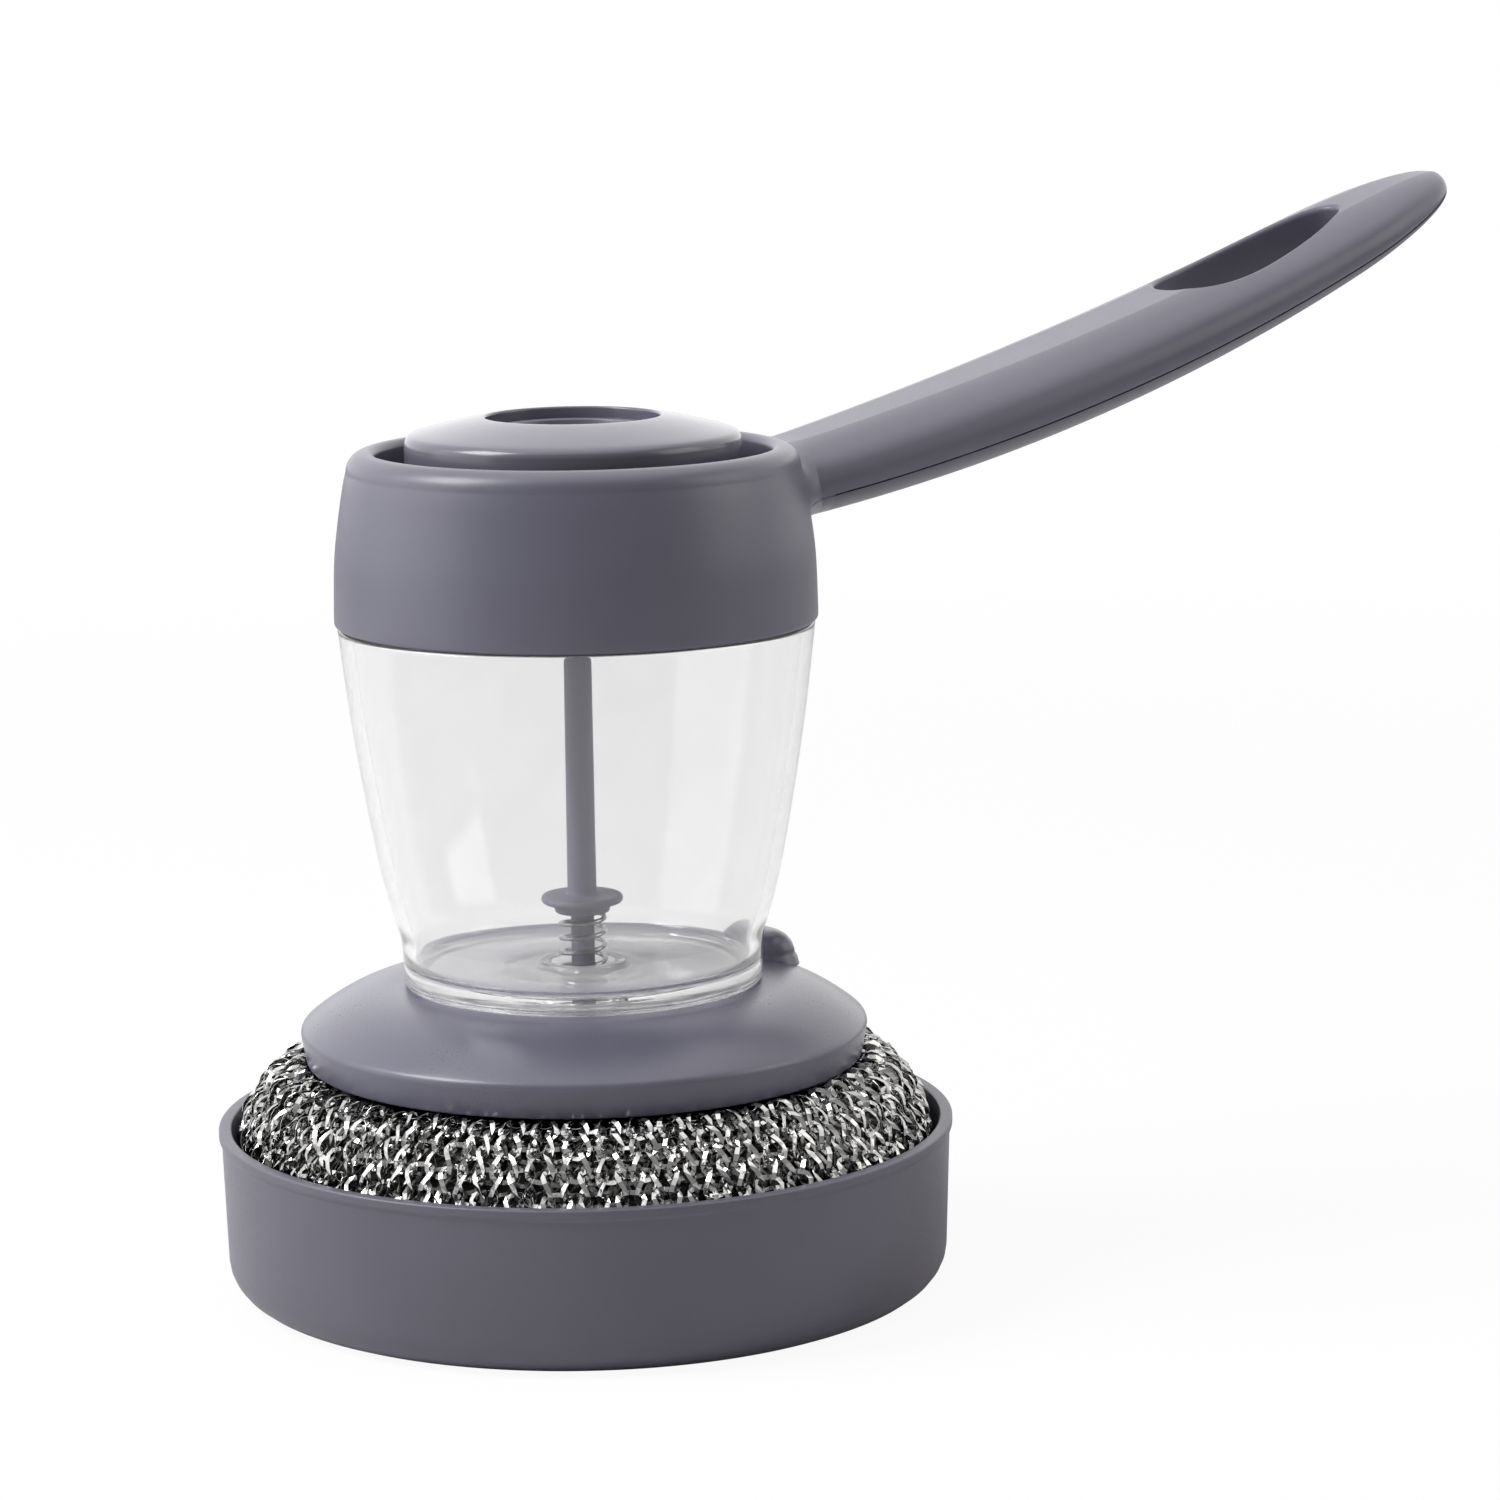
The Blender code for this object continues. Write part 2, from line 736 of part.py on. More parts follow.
# Place, direction and half sizes of the arm at a share of its length.
def arm_station(share):
    start = math.radians(arm_root_angle)
    end = math.radians(arm_tip_angle)
    angle = start + (end - start) * share
    bend = arm_length / (end - start)
    x = arm_start + bend * (math.sin(angle) - math.sin(start))
    z = arm_height + bend * (math.cos(start) - math.cos(angle))
    half_width = three_way(arm_root_half_width, arm_mid_half_width, arm_tip_half_width, share)
    half_depth = three_way(arm_root_half_depth, arm_mid_half_depth, arm_tip_half_depth, share)
    flare = math.exp(-((share * arm_length / arm_flare_reach) ** 2) / 2)
    half_width += arm_flare_width * flare
    half_depth += arm_flare_depth * flare
    past = max(share - arm_round_share, 0) / (1 - arm_round_share)
    end_round = max(1 - past ** arm_tip_fullness, 0) ** (1 / arm_tip_fullness)
    half_width *= max(end_round, arm_tip_width_share)
    half_depth *= arm_tip_depth_share + (1 - arm_tip_depth_share) * end_round
    return {"x": x, "z": z, "angle": angle, "half_width": half_width, "half_depth": half_depth}


# Smooth curve through three values at shares 0, 0.5 and 1.
def three_way(first, middle, last, share):
    return first + (4 * middle - 3 * first - last) * share + (2 * first + 2 * last - 4 * middle) * share ** 2


def arm_place(station, y, up):
    angle = station["angle"]
    return Vector((station["x"] - math.sin(angle) * up, y, station["z"] + math.cos(angle) * up))


# Point of the arm's section at an angle of its outline: crowned, with a flat facet along its top.
def section_point(station, angle, inset=0.0):
    power = 2 / arm_fullness
    across = abs(math.cos(angle)) ** power * (station["half_width"] - inset)
    up = abs(math.sin(angle)) ** power * (station["half_depth"] - inset)
    facet = arm_facet_share * station["half_depth"] - inset
    return math.copysign(across, math.cos(angle)), min(math.copysign(up, math.sin(angle)), facet)


# Angles over the top of the section, with one at each edge of its facet.
def crown_angles(station, low, steps, inset=0.0):
    share = arm_facet_share - inset * (1 - arm_facet_share) / (station["half_depth"] - inset)
    edge = math.asin(share ** (arm_fullness / 2))
    rise = [low + (edge - low) * step / steps for step in range(steps + 1)]
    return rise + [math.pi - angle for angle in reversed(rise)]


# Height of the lower side of the section, set in by the wall, at a distance from its middle.
def section_low(station, across, inset):
    share = min(across / (station["half_width"] - inset), 1)
    return -(station["half_depth"] - inset) * (1 - share ** arm_fullness) ** (1 / arm_fullness)


def seam_up(station):
    return -arm_seam_share * station["half_depth"]


def seam_half_width(station):
    return station["half_width"] * (1 - arm_seam_share ** arm_fullness) ** (1 / arm_fullness)


# Angle of the arm's outline where it meets the seam, moved down by drop.
def seam_angle(station, drop):
    share = (arm_seam_share * station["half_depth"] + drop) / station["half_depth"]
    return math.asin(share ** (arm_fullness / 2))


# Shares of the arm's length, closer together towards its round tip.
def arm_shares(first, last, straight_count, round_count):
    shares = []
    for step in range(straight_count):
        shares.append(first + (min(arm_round_share, last) - first) * step / straight_count)
    for step in range(round_count + 1):
        turn = math.sin(math.pi / 2 * step / round_count)
        shares.append(arm_round_share + (last - arm_round_share) * turn)
    return shares


def arm_upper():
    rings = []
    for share in arm_shares(0, 1, 16, 10):
        station = arm_station(share)
        angles = crown_angles(station, -seam_angle(station, -seat_gap / 2), 7)
        rings.append([arm_place(station, *section_point(station, angle)) for angle in angles])
    return loft("arm_upper", rings)


def arm_lower(first, drop):
    rings = []
    for share in arm_shares(first, 1, 16, 10):
        station = arm_station(share)
        low = seam_angle(station, drop)
        start = math.pi + low
        angles = [start + (math.pi - 2 * low) * step / 9 for step in range(10)]
        rings.append([arm_place(station, *section_point(station, angle)) for angle in angles])
    return loft("arm_lower", rings)


# The arm's inner space, open towards the under cover.
def arm_hollow():
    rings = []
    for share in arm_shares(hollow_start_share, hollow_end_share, 11, 6):
        station = arm_station(share)
        angles = crown_angles(station, 0, 4, arm_wall)
        ring = [arm_place(station, *section_point(station, angle, arm_wall)) for angle in angles]
        half = seam_half_width(station) - arm_wall
        up = seam_up(station) - cut_overrun
        ring.append(arm_place(station, -half, up))
        ring.append(arm_place(station, half, up))
        rings.append(ring)
    return loft("arm_hollow", rings)


# Straight-walled band on the cover that locates inside the arm.
def cover_band(name, inset, low, high, first, last):
    rings = []
    for share in arm_shares(first, last, 10, 5):
        station = arm_station(share)
        half = seam_half_width(station) - arm_wall - inset
        up = seam_up(station)
        corners = ((-half, up + low), (half, up + low), (half, up + high), (-half, up + high))
        rings.append([arm_place(station, y, rise) for y, rise in corners])
    return loft(name, rings)


# The cover's own hollow, below the space inside its band.
def cover_pocket(first, last):
    rings = []
    for share in arm_shares(first, last, 7, 4):
        station = arm_station(share)
        half = seam_half_width(station) - arm_wall - seat_gap - cover_lip_width
        top = seam_up(station) + cut_overrun
        ring = [arm_place(station, half, top), arm_place(station, -half, top)]
        for step in range(5):
            across = half * (step / 2 - 1)
            ring.append(arm_place(station, across, section_low(station, abs(across), arm_wall)))
        rings.append(ring)
    return loft("cover_pocket", rings)


# Hanging slot, egg shaped with its wide end towards the collar.
def slot_prism(name, grow):
    middle = arm_station(slot_middle_share)
    length = slot_half_length + grow
    width = slot_half_width + grow
    power = 2 / slot_fullness
    points = []
    for step in range(slot_steps):
        angle = math.tau * step / slot_steps
        along = math.copysign(abs(math.cos(angle)) ** power, math.cos(angle))
        across = math.copysign(abs(math.sin(angle)) ** power, math.sin(angle)) * (1 - slot_skew * along)
        points.append((along * length, across * width))
    reach = arm_mid_half_depth * 2
    turn = Matrix.Rotation(-middle["angle"], 4, "Y")
    lift = Vector((middle["x"], 0, middle["z"]))
    rings = []
    for up in (-reach, reach):
        rings.append([lift + turn @ Vector((along, y, up)) for along, y in points])
    return loft(name, rings)


# Rounds the slot's edge on the upper or the lower face of the arm.
def round_slot_edge(made, side):
    middle = arm_station(slot_middle_share)
    axis = Vector((-math.sin(middle["angle"]), 0, math.cos(middle["angle"]))) * side
    first = middle["x"] - slot_half_length * 1.5
    last = middle["x"] + slot_half_length * 1.5
    shape = bmesh.new()
    shape.from_mesh(made.data)
    edges = []
    for edge in shape.edges:
        x = (edge.verts[0].co.x + edge.verts[1].co.x) / 2
        slopes = sorted(face.normal.dot(axis) for face in edge.link_faces)
        if not first < x < last or len(slopes) != 2:
            continue
        if abs(slopes[0]) < slot_wall_slope and slopes[1] > slot_face_slope:
            edges.append(edge)
    bmesh.ops.bevel(shape, geom=edges, offset=slot_round, segments=2, profile=0.5, affect="EDGES")
    shape.to_mesh(made.data)
    shape.free()
    return bake(made)


def make_handle_collar():
    rim_round = (collar_rim_radius - collar_bore) / 2
    rim_r = collar_bore + rim_round
    rim_z = collar_rim_height - rim_round
    joint_bore = joint_radius + seat_gap
    flange_inner = neck_radius + 2 * slide_gap
    outline = arc(rim_r, rim_z, rim_round, 180, 0, 8)
    outline += collar_side()
    outline += [(collar_radius - 4 * seat_gap, collar_base_height)]
    outline += [(joint_bore, collar_base_height), (joint_bore, flange_height)]
    outline += [(flange_inner, flange_height), (flange_inner, flange_height + collar_flange)]
    outline += [(collar_bore, flange_height + collar_flange)]
    collar = turned("handle_collar", outline)
    arm = bake(arm_upper())
    hollow = arm_hollow()
    cut(hollow, [slot_prism("slot_surround", slot_wall)])
    cut(arm, [hollow, slot_prism("slot_through_arm", 0)])
    round_slot_edge(arm, 1)
    root = arm_root_block()
    join(arm, [root])
    join(collar, [arm])
    return finish(collar, look("handle_collar", slate, 0.4))


# Closes the arm's underside between the collar and the cover.
def arm_root_block():
    rings = []
    last = cover_start_share - seat_gap / arm_length
    for step in range(5):
        station = arm_station(last * step / 4)
        low = math.asin(root_seam_share ** (arm_fullness / 2))
        start = math.pi + low
        angles = [start + (math.pi - 2 * low) * index / 11 for index in range(12)]
        rings.append([arm_place(station, *section_point(station, angle)) for angle in angles])
    return loft("arm_root", rings)


def make_under_cover():
    cover = bake(arm_lower(cover_start_share, seat_gap / 2))
    first = hollow_start_share + seat_gap / arm_length * 2
    last = cover_band_end_share
    band = cover_band("cover_band", seat_gap, -2 * seat_gap, cover_lip_height, first, last)
    inner = seat_gap + cover_lip_width
    share = cover_lip_width / arm_length
    space = cover_band("band_space", inner, -cut_overrun, 2 * cut_overrun, first + share, last - share)
    cut(band, [space, slot_prism("slot_clearance", slot_wall + seat_gap)])
    loose = bake(band)
    separate = split_loose(loose)
    join(cover, separate)
    pocket = cover_pocket(first + share, last - share)
    cut(pocket, [slot_prism("slot_wall_in_cover", slot_wall)])
    cut(cover, [pocket, slot_prism("slot_through_cover", 0)])
    round_slot_edge(cover, -1)
    return finish(cover, look("handle_under_cover", slate_dark, 0.45))


# Splits an object into its loose bodies, so that each is joined by itself.
def split_loose(made):
    shape = bmesh.new()
    shape.from_mesh(made.data)
    left = set(shape.faces)
    pieces = []
    while left:
        seed = left.pop()
        group = {seed}
        stack = [seed]
        while stack:
            face = stack.pop()
            for edge in face.edges:
                for other in edge.link_faces:
                    if other not in group:
                        group.add(other)
                        stack.append(other)
        left -= group
        pieces.append([[tuple(vert.co) for vert in face.verts] for face in group])
    shape.free()
    bpy.data.objects.remove(made, do_unlink=True)
    found = []
    for faces in pieces:
        mesh = bpy.data.meshes.new("piece")
        part = bmesh.new()
        for corners in faces:
            part.faces.new([part.verts.new(corner) for corner in corners])
        bmesh.ops.remove_doubles(part, verts=part.verts, dist=weld_distance)
        part.to_mesh(mesh)
        part.free()
        found.append(add_object("piece", mesh))
    return found


def make_filler_cap():
    shoulder_r = cap_radius - cap_edge_round
    crown_edge = cap_crown_height - cap_crown_drop
    tube_outer = recess_radius + recess_wall
    tube_end = cap_crown_height - recess_tube_length
    rise = crown_edge - cap_edge_height
    outline = [(recess_radius, cap_crown_height - seat_gap)]
    outline += [(recess_radius + seat_gap, cap_crown_height)]
    for step in range(1, 4):
        share = step / 4
        r = recess_radius + (shoulder_r - recess_radius) * share
        outline.append((r, cap_crown_height - cap_crown_drop * share ** 2))
    for step in range(5):
        angle = math.radians(90 - 22.5 * step)
        across = cap_edge_round * math.cos(angle)
        outline.append((shoulder_r + across, cap_edge_height + rise * math.sin(angle)))
    outline += [(cap_radius, cap_base_height + seat_gap), (cap_radius - seat_gap, cap_base_height)]
    outline += [(cap_inner_radius, cap_base_height)]
    outline += [(cap_inner_radius, cap_edge_height - seat_gap)]
    roof_low = cap_edge_height + 2 * seat_gap
    outline += [(cap_inner_radius - 2 * seat_gap, roof_low)]
    outline += [(tube_outer, roof_low), (tube_outer, tube_end), (recess_radius, tube_end)]
    return finish(turned("filler_cap", outline), look("filler_cap", slate, 0.36))


def make_cap_insert():
    roof_top = insert_top_height
    roof_low = insert_roof_height
    well_outer = insert_well_radius + insert_wall
    floor_top = insert_floor_height + insert_floor
    rod_hole = rod_top_radius + slide_gap
    seal_room = rod_seal_radius + seat_gap
    cup_end = insert_floor_height - rod_seal_depth - 2 * seat_gap
    outline = [(insert_well_radius, roof_top), (insert_outer_radius - 2 * seat_gap, roof_top)]
    outline += [(insert_outer_radius, roof_top - 2 * seat_gap)]
    outline += [(insert_outer_radius, cap_base_height), (insert_inner_radius, cap_base_height)]
    outline += [(insert_inner_radius, roof_low), (well_outer, roof_low)]
    outline += [(well_outer, insert_floor_height)]
    outline += [(seal_room + rod_seal_cup, insert_floor_height)]
    outline += [(seal_room + rod_seal_cup, cup_end), (seal_room, cup_end)]
    outline += [(seal_room, insert_floor_height), (rod_hole, insert_floor_height)]
    outline += [(rod_hole, floor_top), (insert_well_radius, floor_top)]
    return finish(turned("cap_insert", outline, middle_steps), look("cap_insert", slate_dark, 0.45))


def make_press_button():
    plate_low = button_height - button_dish_depth - button_plate
    skirt_inner = button_radius - button_skirt
    rounding = button_dish_depth / 2
    dish_low = button_height - button_dish_depth
    rim_radius = button_dish_radius + seat_gap
    outline = [(0, dish_low), (button_dish_radius - rounding, dish_low)]
    outline += [(button_dish_radius, dish_low + rounding)]
    outline += [(rim_radius, button_height)]
    outline += arc(button_radius - rounding, button_height - rounding, rounding, 90, 0, 3)
    outline += [(button_radius, button_base_height), (skirt_inner, button_base_height)]
    outline += [(skirt_inner, plate_low), (button_pin_radius, plate_low)]
    outline += [(button_pin_radius, button_base_height), (0, button_base_height)]
    button = turned("press_button", outline, middle_steps)
    return finish(button, look("press_button", slate, 0.4))


def make_push_rod():
    flange_low = rod_flange_height - rod_flange_depth
    step_low = rod_step_height
    rounding = rod_flange_round
    stub_top = valve_seat_height
    stub_end = valve_foot_inside + seat_gap
    outline = [(0, rod_top_height), (rod_top_radius - seat_gap, rod_top_height)]
    outline += [(rod_top_radius, rod_top_height - seat_gap)]
    outline += [(rod_radius, rod_flange_height + rod_radius), (rod_radius + seat_gap, rod_flange_height)]
    flange_edge = rod_flange_radius - rounding
    outline += arc(flange_edge, rod_flange_height - rounding, rounding, 90, 0, 3)
    outline += arc(flange_edge, flange_low + rounding, rounding, 0, -90, 3)
    outline += [(rod_step_radius, flange_low), (rod_step_radius, step_low + seat_gap)]
    outline += [(rod_step_radius - seat_gap, step_low), (rod_low_radius, step_low)]
    outline += [(rod_low_radius, stub_top), (rod_stub_radius, stub_top)]
    outline += [(rod_stub_radius, stub_end), (0, stub_end)]
    return finish(turned("push_rod", outline, small_steps), look("push_rod", slate, 0.45))


def make_valve():
    step = valve_top - seat_gap
    hole = rod_stub_radius + seat_gap
    outline = [(hole, step), (valve_bore, step), (valve_bore + seat_gap, valve_top)]
    outline += [(valve_radius - seat_gap, valve_top), (valve_radius, step)]
    outline += [(valve_radius - seat_gap, valve_base), (hole, valve_base)]
    finish(turned("valve_seal", outline, small_steps), look("valve_seal", silicone, 0.6))
    edge = valve_foot_radius - 2 * seat_gap
    outline = [(0, valve_foot_inside), (hole, valve_foot_inside), (hole, valve_foot_top)]
    outline += [(valve_foot_radius, valve_foot_top), (valve_foot_radius, valve_foot_base + 2 * seat_gap)]
    outline += [(edge, valve_foot_base), (0, valve_foot_base)]
    finish(turned("valve_foot", outline, small_steps), look("valve_foot", slate_dark, 0.4))


# One unbroken wire. It prints its least distance to itself, less its own
# thickness, measured between points that are more than half a curl apart.
def make_spring():
    height = spring_top - spring_base
    curls = height / spring_pitch
    count = round(curls * spring_points_per_curl)
    curve = bpy.data.curves.new("spring", "CURVE")
    curve.dimensions = "3D"
    curve.bevel_depth = spring_wire_radius
    curve.bevel_resolution = 1
    curve.use_fill_caps = True
    line = curve.splines.new("POLY")
    line.points.add(count)
    places = []
    for step in range(count + 1):
        angle = 2 * math.pi * curls * step / count
        rise = spring_base + height * step / count
        places.append(Vector((spring_radius * math.cos(angle), spring_radius * math.sin(angle), rise)))
        line.points[step].co = (*places[-1], 1.0)
    wire = add_object("spring_wire", curve)
    graph = bpy.context.evaluated_depsgraph_get()
    mesh = bpy.data.meshes.new_from_object(wire.evaluated_get(graph))
    spring = add_object("spring", mesh)
    spring.matrix_world = wire.matrix_world
    bpy.data.objects.remove(wire, do_unlink=True)
    bake(spring, 50.0)
    apart = spring_points_per_curl // 2
    gaps = []
    for first in range(len(places)):
        for second in range(first + apart + 1, len(places)):
            gaps.append((places[first] - places[second]).length)
    print("spring least gap to itself, mm: %.3f" % ((min(gaps) - 2 * spring_wire_radius) * 1000))
    return finish(spring, look("spring", steel, 0.25, 1.0))


# Puts a piece's origin on its joint's axis without moving its shape.
def set_origin(node, place):
    made = bpy.data.objects[node]
    made.data.transform(Matrix.Translation(-Vector(place)))
    made.location = place


def main():
    make_drip_tray()
    make_scourer()
    make_scourer_clamp()
    make_clamp_screws()
    make_head_disc()
    make_tank()
    make_seals()
    make_handle_collar()
    make_under_cover()
    make_filler_cap()
    make_cap_insert()
    make_press_button()
    make_push_rod()
    make_valve()
    make_spring()
    set_origin("head_disc", (0, 0, head_top_height))
    set_origin("filler_cap", (0, 0, cap_base_height))
    set_origin("press_button", (0, 0, button_height))
    set_origin("push_rod", (0, 0, rod_top_height))
    total = 0
    for made in part_collection.objects:
        made.data.calc_loop_triangles()
        total += len(made.data.loop_triangles)
        print(made.name, len(made.data.loop_triangles))
    print("triangles", total)


main()
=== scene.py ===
import math

import bmesh
import bpy
import numpy as np
from mathutils import Matrix, Vector


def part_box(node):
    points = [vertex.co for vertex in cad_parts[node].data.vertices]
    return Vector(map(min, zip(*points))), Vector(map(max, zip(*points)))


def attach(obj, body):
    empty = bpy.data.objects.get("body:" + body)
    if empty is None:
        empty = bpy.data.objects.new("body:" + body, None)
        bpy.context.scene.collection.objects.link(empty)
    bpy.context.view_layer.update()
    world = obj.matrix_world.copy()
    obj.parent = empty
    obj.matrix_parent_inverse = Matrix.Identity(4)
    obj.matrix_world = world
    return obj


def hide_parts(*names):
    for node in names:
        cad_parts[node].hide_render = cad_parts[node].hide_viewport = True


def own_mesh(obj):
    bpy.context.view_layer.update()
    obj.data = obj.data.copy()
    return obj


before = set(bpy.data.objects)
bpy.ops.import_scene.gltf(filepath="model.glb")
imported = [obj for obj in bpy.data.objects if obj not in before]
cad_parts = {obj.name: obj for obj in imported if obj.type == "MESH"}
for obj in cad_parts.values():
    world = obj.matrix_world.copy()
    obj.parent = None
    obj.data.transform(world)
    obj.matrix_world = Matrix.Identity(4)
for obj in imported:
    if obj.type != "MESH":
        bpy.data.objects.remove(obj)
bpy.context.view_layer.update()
print("frame loaded:", len(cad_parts), "nodes")

mm = 0.001
fullTurn = 2 * math.pi

# ---- shader node helpers


def feed(tree, made, values):
    # sets a node's inputs, and links those that are given as another node's output
    for key, value in values.items():
        if isinstance(value, bpy.types.NodeSocket):
            tree.links.new(value, made.inputs[key])
        else:
            made.inputs[key].default_value = value


def node(tree, kind, values=None, **settings):
    made = tree.nodes.new(kind)
    for key, value in settings.items():
        setattr(made, key, value)
    feed(tree, made, values or {})
    return made


def maths(tree, operation, first, second):
    return node(tree, "ShaderNodeMath", {0: first, 1: second}, operation=operation).outputs[0]


def vectorMaths(tree, operation, values, output=0):
    return node(tree, "ShaderNodeVectorMath", values, operation=operation).outputs[output]


def spread(tree, value, low, high, fromLow=0.3, fromHigh=0.7, ease="LINEAR"):
    values = {"Value": value, "From Min": fromLow, "From Max": fromHigh, "To Min": low, "To Max": high}
    return node(tree, "ShaderNodeMapRange", values, interpolation_type=ease).outputs["Result"]


def blend(tree, share, first, second):
    return node(tree, "ShaderNodeMixShader", {0: share, 1: first, 2: second}).outputs[0]


# ---- camera and studio

view = {
    "place": (-0.33915, -0.58742, 0.1955),   # metres
    "heading": 57.925,                       # degrees from +X
    "dip": 9.875,
    "roll": -0.773,
    "lens": 114.8,
    "sensor": 36.0,
    "clip": (0.01, 20),
}

studio = {
    "behind": (0.370, 0.917, 0.15),   # the brightest part of the white surround
    # world strength, dimmest and brightest
    "wallLight": (0.0, 0.37),         # as it lights the object
    "gloss": (0.55, 1.68),            # in reflections
    "shown": (0.10, 1.0),             # through the clear tank: white behind, dark to the sides
    "wallFade": (-0.7, 0.6),          # cosines from the brightest part, where the light starts and is full
    "shownFade": (0.1, 0.84),
    "floorSize": 6.0,
    "floorHeight": -0.00005,
    "floorTone": (0.86, 0.86, 0.865),
    "floorLift": 0.93,                # share of plain white that the camera sees on the floor
    "floorFade": (0.22, 0.9),         # metres over which the floor turns into the white surround
    "aim": (0.03, 0, 0.07),
    "boxes": [
        # name, degrees to the side of the camera, elevation, distance, width, height, power, tint
        ("keyBox", -76, 44, 1.0, 0.45, 0.50, 8.6, (1, 1, 1)),
        ("lowBox", -82, 14, 1.0, 0.95, 0.90, 3.3, (1, 1, 1)),
        ("topBox", 0, 85, 1.0, 1.10, 1.10, 3.8, (1, 1, 1)),
        ("sideBox", 80, 24, 1.0, 0.60, 0.60, 2.3, (1.0, 0.96, 0.90)),
    ],
}


def makeCamera():
    heading, dip, roll = (math.radians(view[key]) for key in ("heading", "dip", "roll"))
    forward = Vector((math.cos(heading) * math.cos(dip), math.sin(heading) * math.cos(dip), -math.sin(dip)))
    right = forward.cross(Vector((0, 0, 1))).normalized()
    up = right.cross(forward)
    rightRolled = right * math.cos(roll) + up * math.sin(roll)
    upRolled = up * math.cos(roll) - right * math.sin(roll)
    turn = Matrix((rightRolled, upRolled, -forward)).transposed()
    data = bpy.data.cameras.new("photoCamera")
    data.sensor_width = view["sensor"]
    data.lens = view["lens"]
    data.clip_start, data.clip_end = view["clip"]
    camera = bpy.data.objects.new("photoCamera", data)
    camera.matrix_world = Matrix.Translation(view["place"]) @ turn.to_4x4()
    bpy.context.scene.collection.objects.link(camera)
    bpy.context.scene.camera = camera


def makeBoxes():
    facing = math.atan2(view["place"][1], view["place"][0])
    for name, azimuth, elevation, distance, width, height, power, tint in studio["boxes"]:
        around = facing + math.radians(azimuth)
        lift = math.radians(elevation)
        out = Vector((math.cos(around) * math.cos(lift), math.sin(around) * math.cos(lift), math.sin(lift)))
        data = bpy.data.lights.new(name, "AREA")
        data.shape = "RECTANGLE"
        data.size = width
        data.size_y = height
        data.energy = power
        data.color = tint
        lamp = bpy.data.objects.new(name, data)
        lamp.location = Vector(studio["aim"]) + out * distance
        lamp.rotation_mode = "QUATERNION"
        lamp.rotation_quaternion = (-out).to_track_quat("-Z", "Y")
        bpy.context.scene.collection.objects.link(lamp)


def makeWorld():
    world = bpy.data.worlds.new("studioWorld")
    bpy.context.scene.world = world
    world.use_nodes = True
    tree = world.node_tree
    tree.nodes.clear()
    path = node(tree, "ShaderNodeLightPath").outputs
    way = node(tree, "ShaderNodeTexCoord").outputs["Generated"]
    toBack = vectorMaths(tree, "DOT_PRODUCT", {0: way, 1: studio["behind"]}, "Value")

    def layer(strength):
        return node(tree, "ShaderNodeBackground", {"Color": (1, 1, 1, 1), "Strength": strength}).outputs[0]

    def wall(part, fade):
        return layer(spread(tree, toBack, *studio[part], *studio[fade], "SMOOTHSTEP"))

    shown = wall("wallLight", "wallFade")
    shown = blend(tree, path["Is Glossy Ray"], shown, wall("gloss", "wallFade"))
    shown = blend(tree, path["Is Transmission Ray"], shown, wall("shown", "shownFade"))
    shown = blend(tree, path["Is Camera Ray"], shown, layer(1.0))
    node(tree, "ShaderNodeOutputWorld", {0: shown})


def makeFloor():
    half = studio["floorSize"] / 2
    mesh = bpy.data.meshes.new("studioFloor")
    corners = [(-half, -half), (half, -half), (half, half), (-half, half)]
    mesh.from_pydata([(x, y, studio["floorHeight"]) for x, y in corners], [], [(0, 1, 2, 3)])
    floor = bpy.data.objects.new("studioFloor", mesh)
    bpy.context.scene.collection.objects.link(floor)
    paint = bpy.data.materials.new("paleFloor")
    paint.use_nodes = True
    tree = paint.node_tree
    tree.nodes.clear()
    path = node(tree, "ShaderNodeLightPath").outputs
    seen = maths(tree, "MAXIMUM", path["Is Camera Ray"], path["Is Transmission Ray"])
    away = vectorMaths(tree, "LENGTH", {0: node(tree, "ShaderNodeTexCoord").outputs["Object"]}, "Value")
    fade = spread(tree, away, studio["floorLift"], 1.0, *studio["floorFade"], "SMOOTHSTEP")
    matt = node(tree, "ShaderNodeBsdfDiffuse", {"Color": (*studio["floorTone"], 1)}).outputs[0]
    white = node(tree, "ShaderNodeEmission", {"Strength": 1.0}).outputs[0]
    surface = blend(tree, maths(tree, "MULTIPLY", seen, fade), matt, white)
    node(tree, "ShaderNodeOutputMaterial", {0: surface})
    mesh.materials.append(paint)


bpy.context.scene.view_settings.view_transform = "Standard"
makeCamera()
makeBoxes()
makeWorld()
makeFloor()
print("camera and studio ready")

# ---- materials

plastics = {
    # tint, roughness range, scale of the mould's grain, its depth in mm, cloudiness of the tint
    "slate": ((0.101, 0.098, 0.134), (0.32, 0.41), 1500, 0.007, 0.07),
    "slateCap": ((0.110, 0.106, 0.142), (0.18, 0.24), 1700, 0.003, 0.05),
    "slateDisc": ((0.104, 0.102, 0.143), (0.27, 0.35), 1500, 0.004, 0.07),
    "slateTray": ((0.092, 0.088, 0.117), (0.36, 0.47), 1300, 0.012, 0.08),
    "slateCover": ((0.094, 0.091, 0.121), (0.38, 0.48), 1300, 0.012, 0.07),
    "slateRod": ((0.142, 0.132, 0.178), (0.42, 0.55), 1800, 0.010, 0.10),
    "slateInner": ((0.080, 0.077, 0.099), (0.42, 0.55), 1500, 0.010, 0.07),
}
steels = {
    # tint, roughness range, scale of the streaks, their depth in mm
    "ribbonSteel": ((0.37, 0.367, 0.362), (0.08, 0.22), 2400, 0.010),
    # a darker copy of the ribbon steel for the knit's deeper layers: painted shade for the depth between the loops
    "deepShadedRibbonSteel": ((0.17, 0.168, 0.165), (0.18, 0.34), 2400, 0.012),
    # near-black steel for the scourer's core: painted shade of the packed ribbon, not the steel's own colour
    "shadedPackedSteel": ((0.030, 0.029, 0.028), (0.35, 0.55), 2400, 0.012),
    "springSteel": ((0.40, 0.40, 0.41), (0.14, 0.26), 3200, 0.006),
    "screwSteel": ((0.58, 0.58, 0.59), (0.20, 0.34), 1800, 0.008),
}
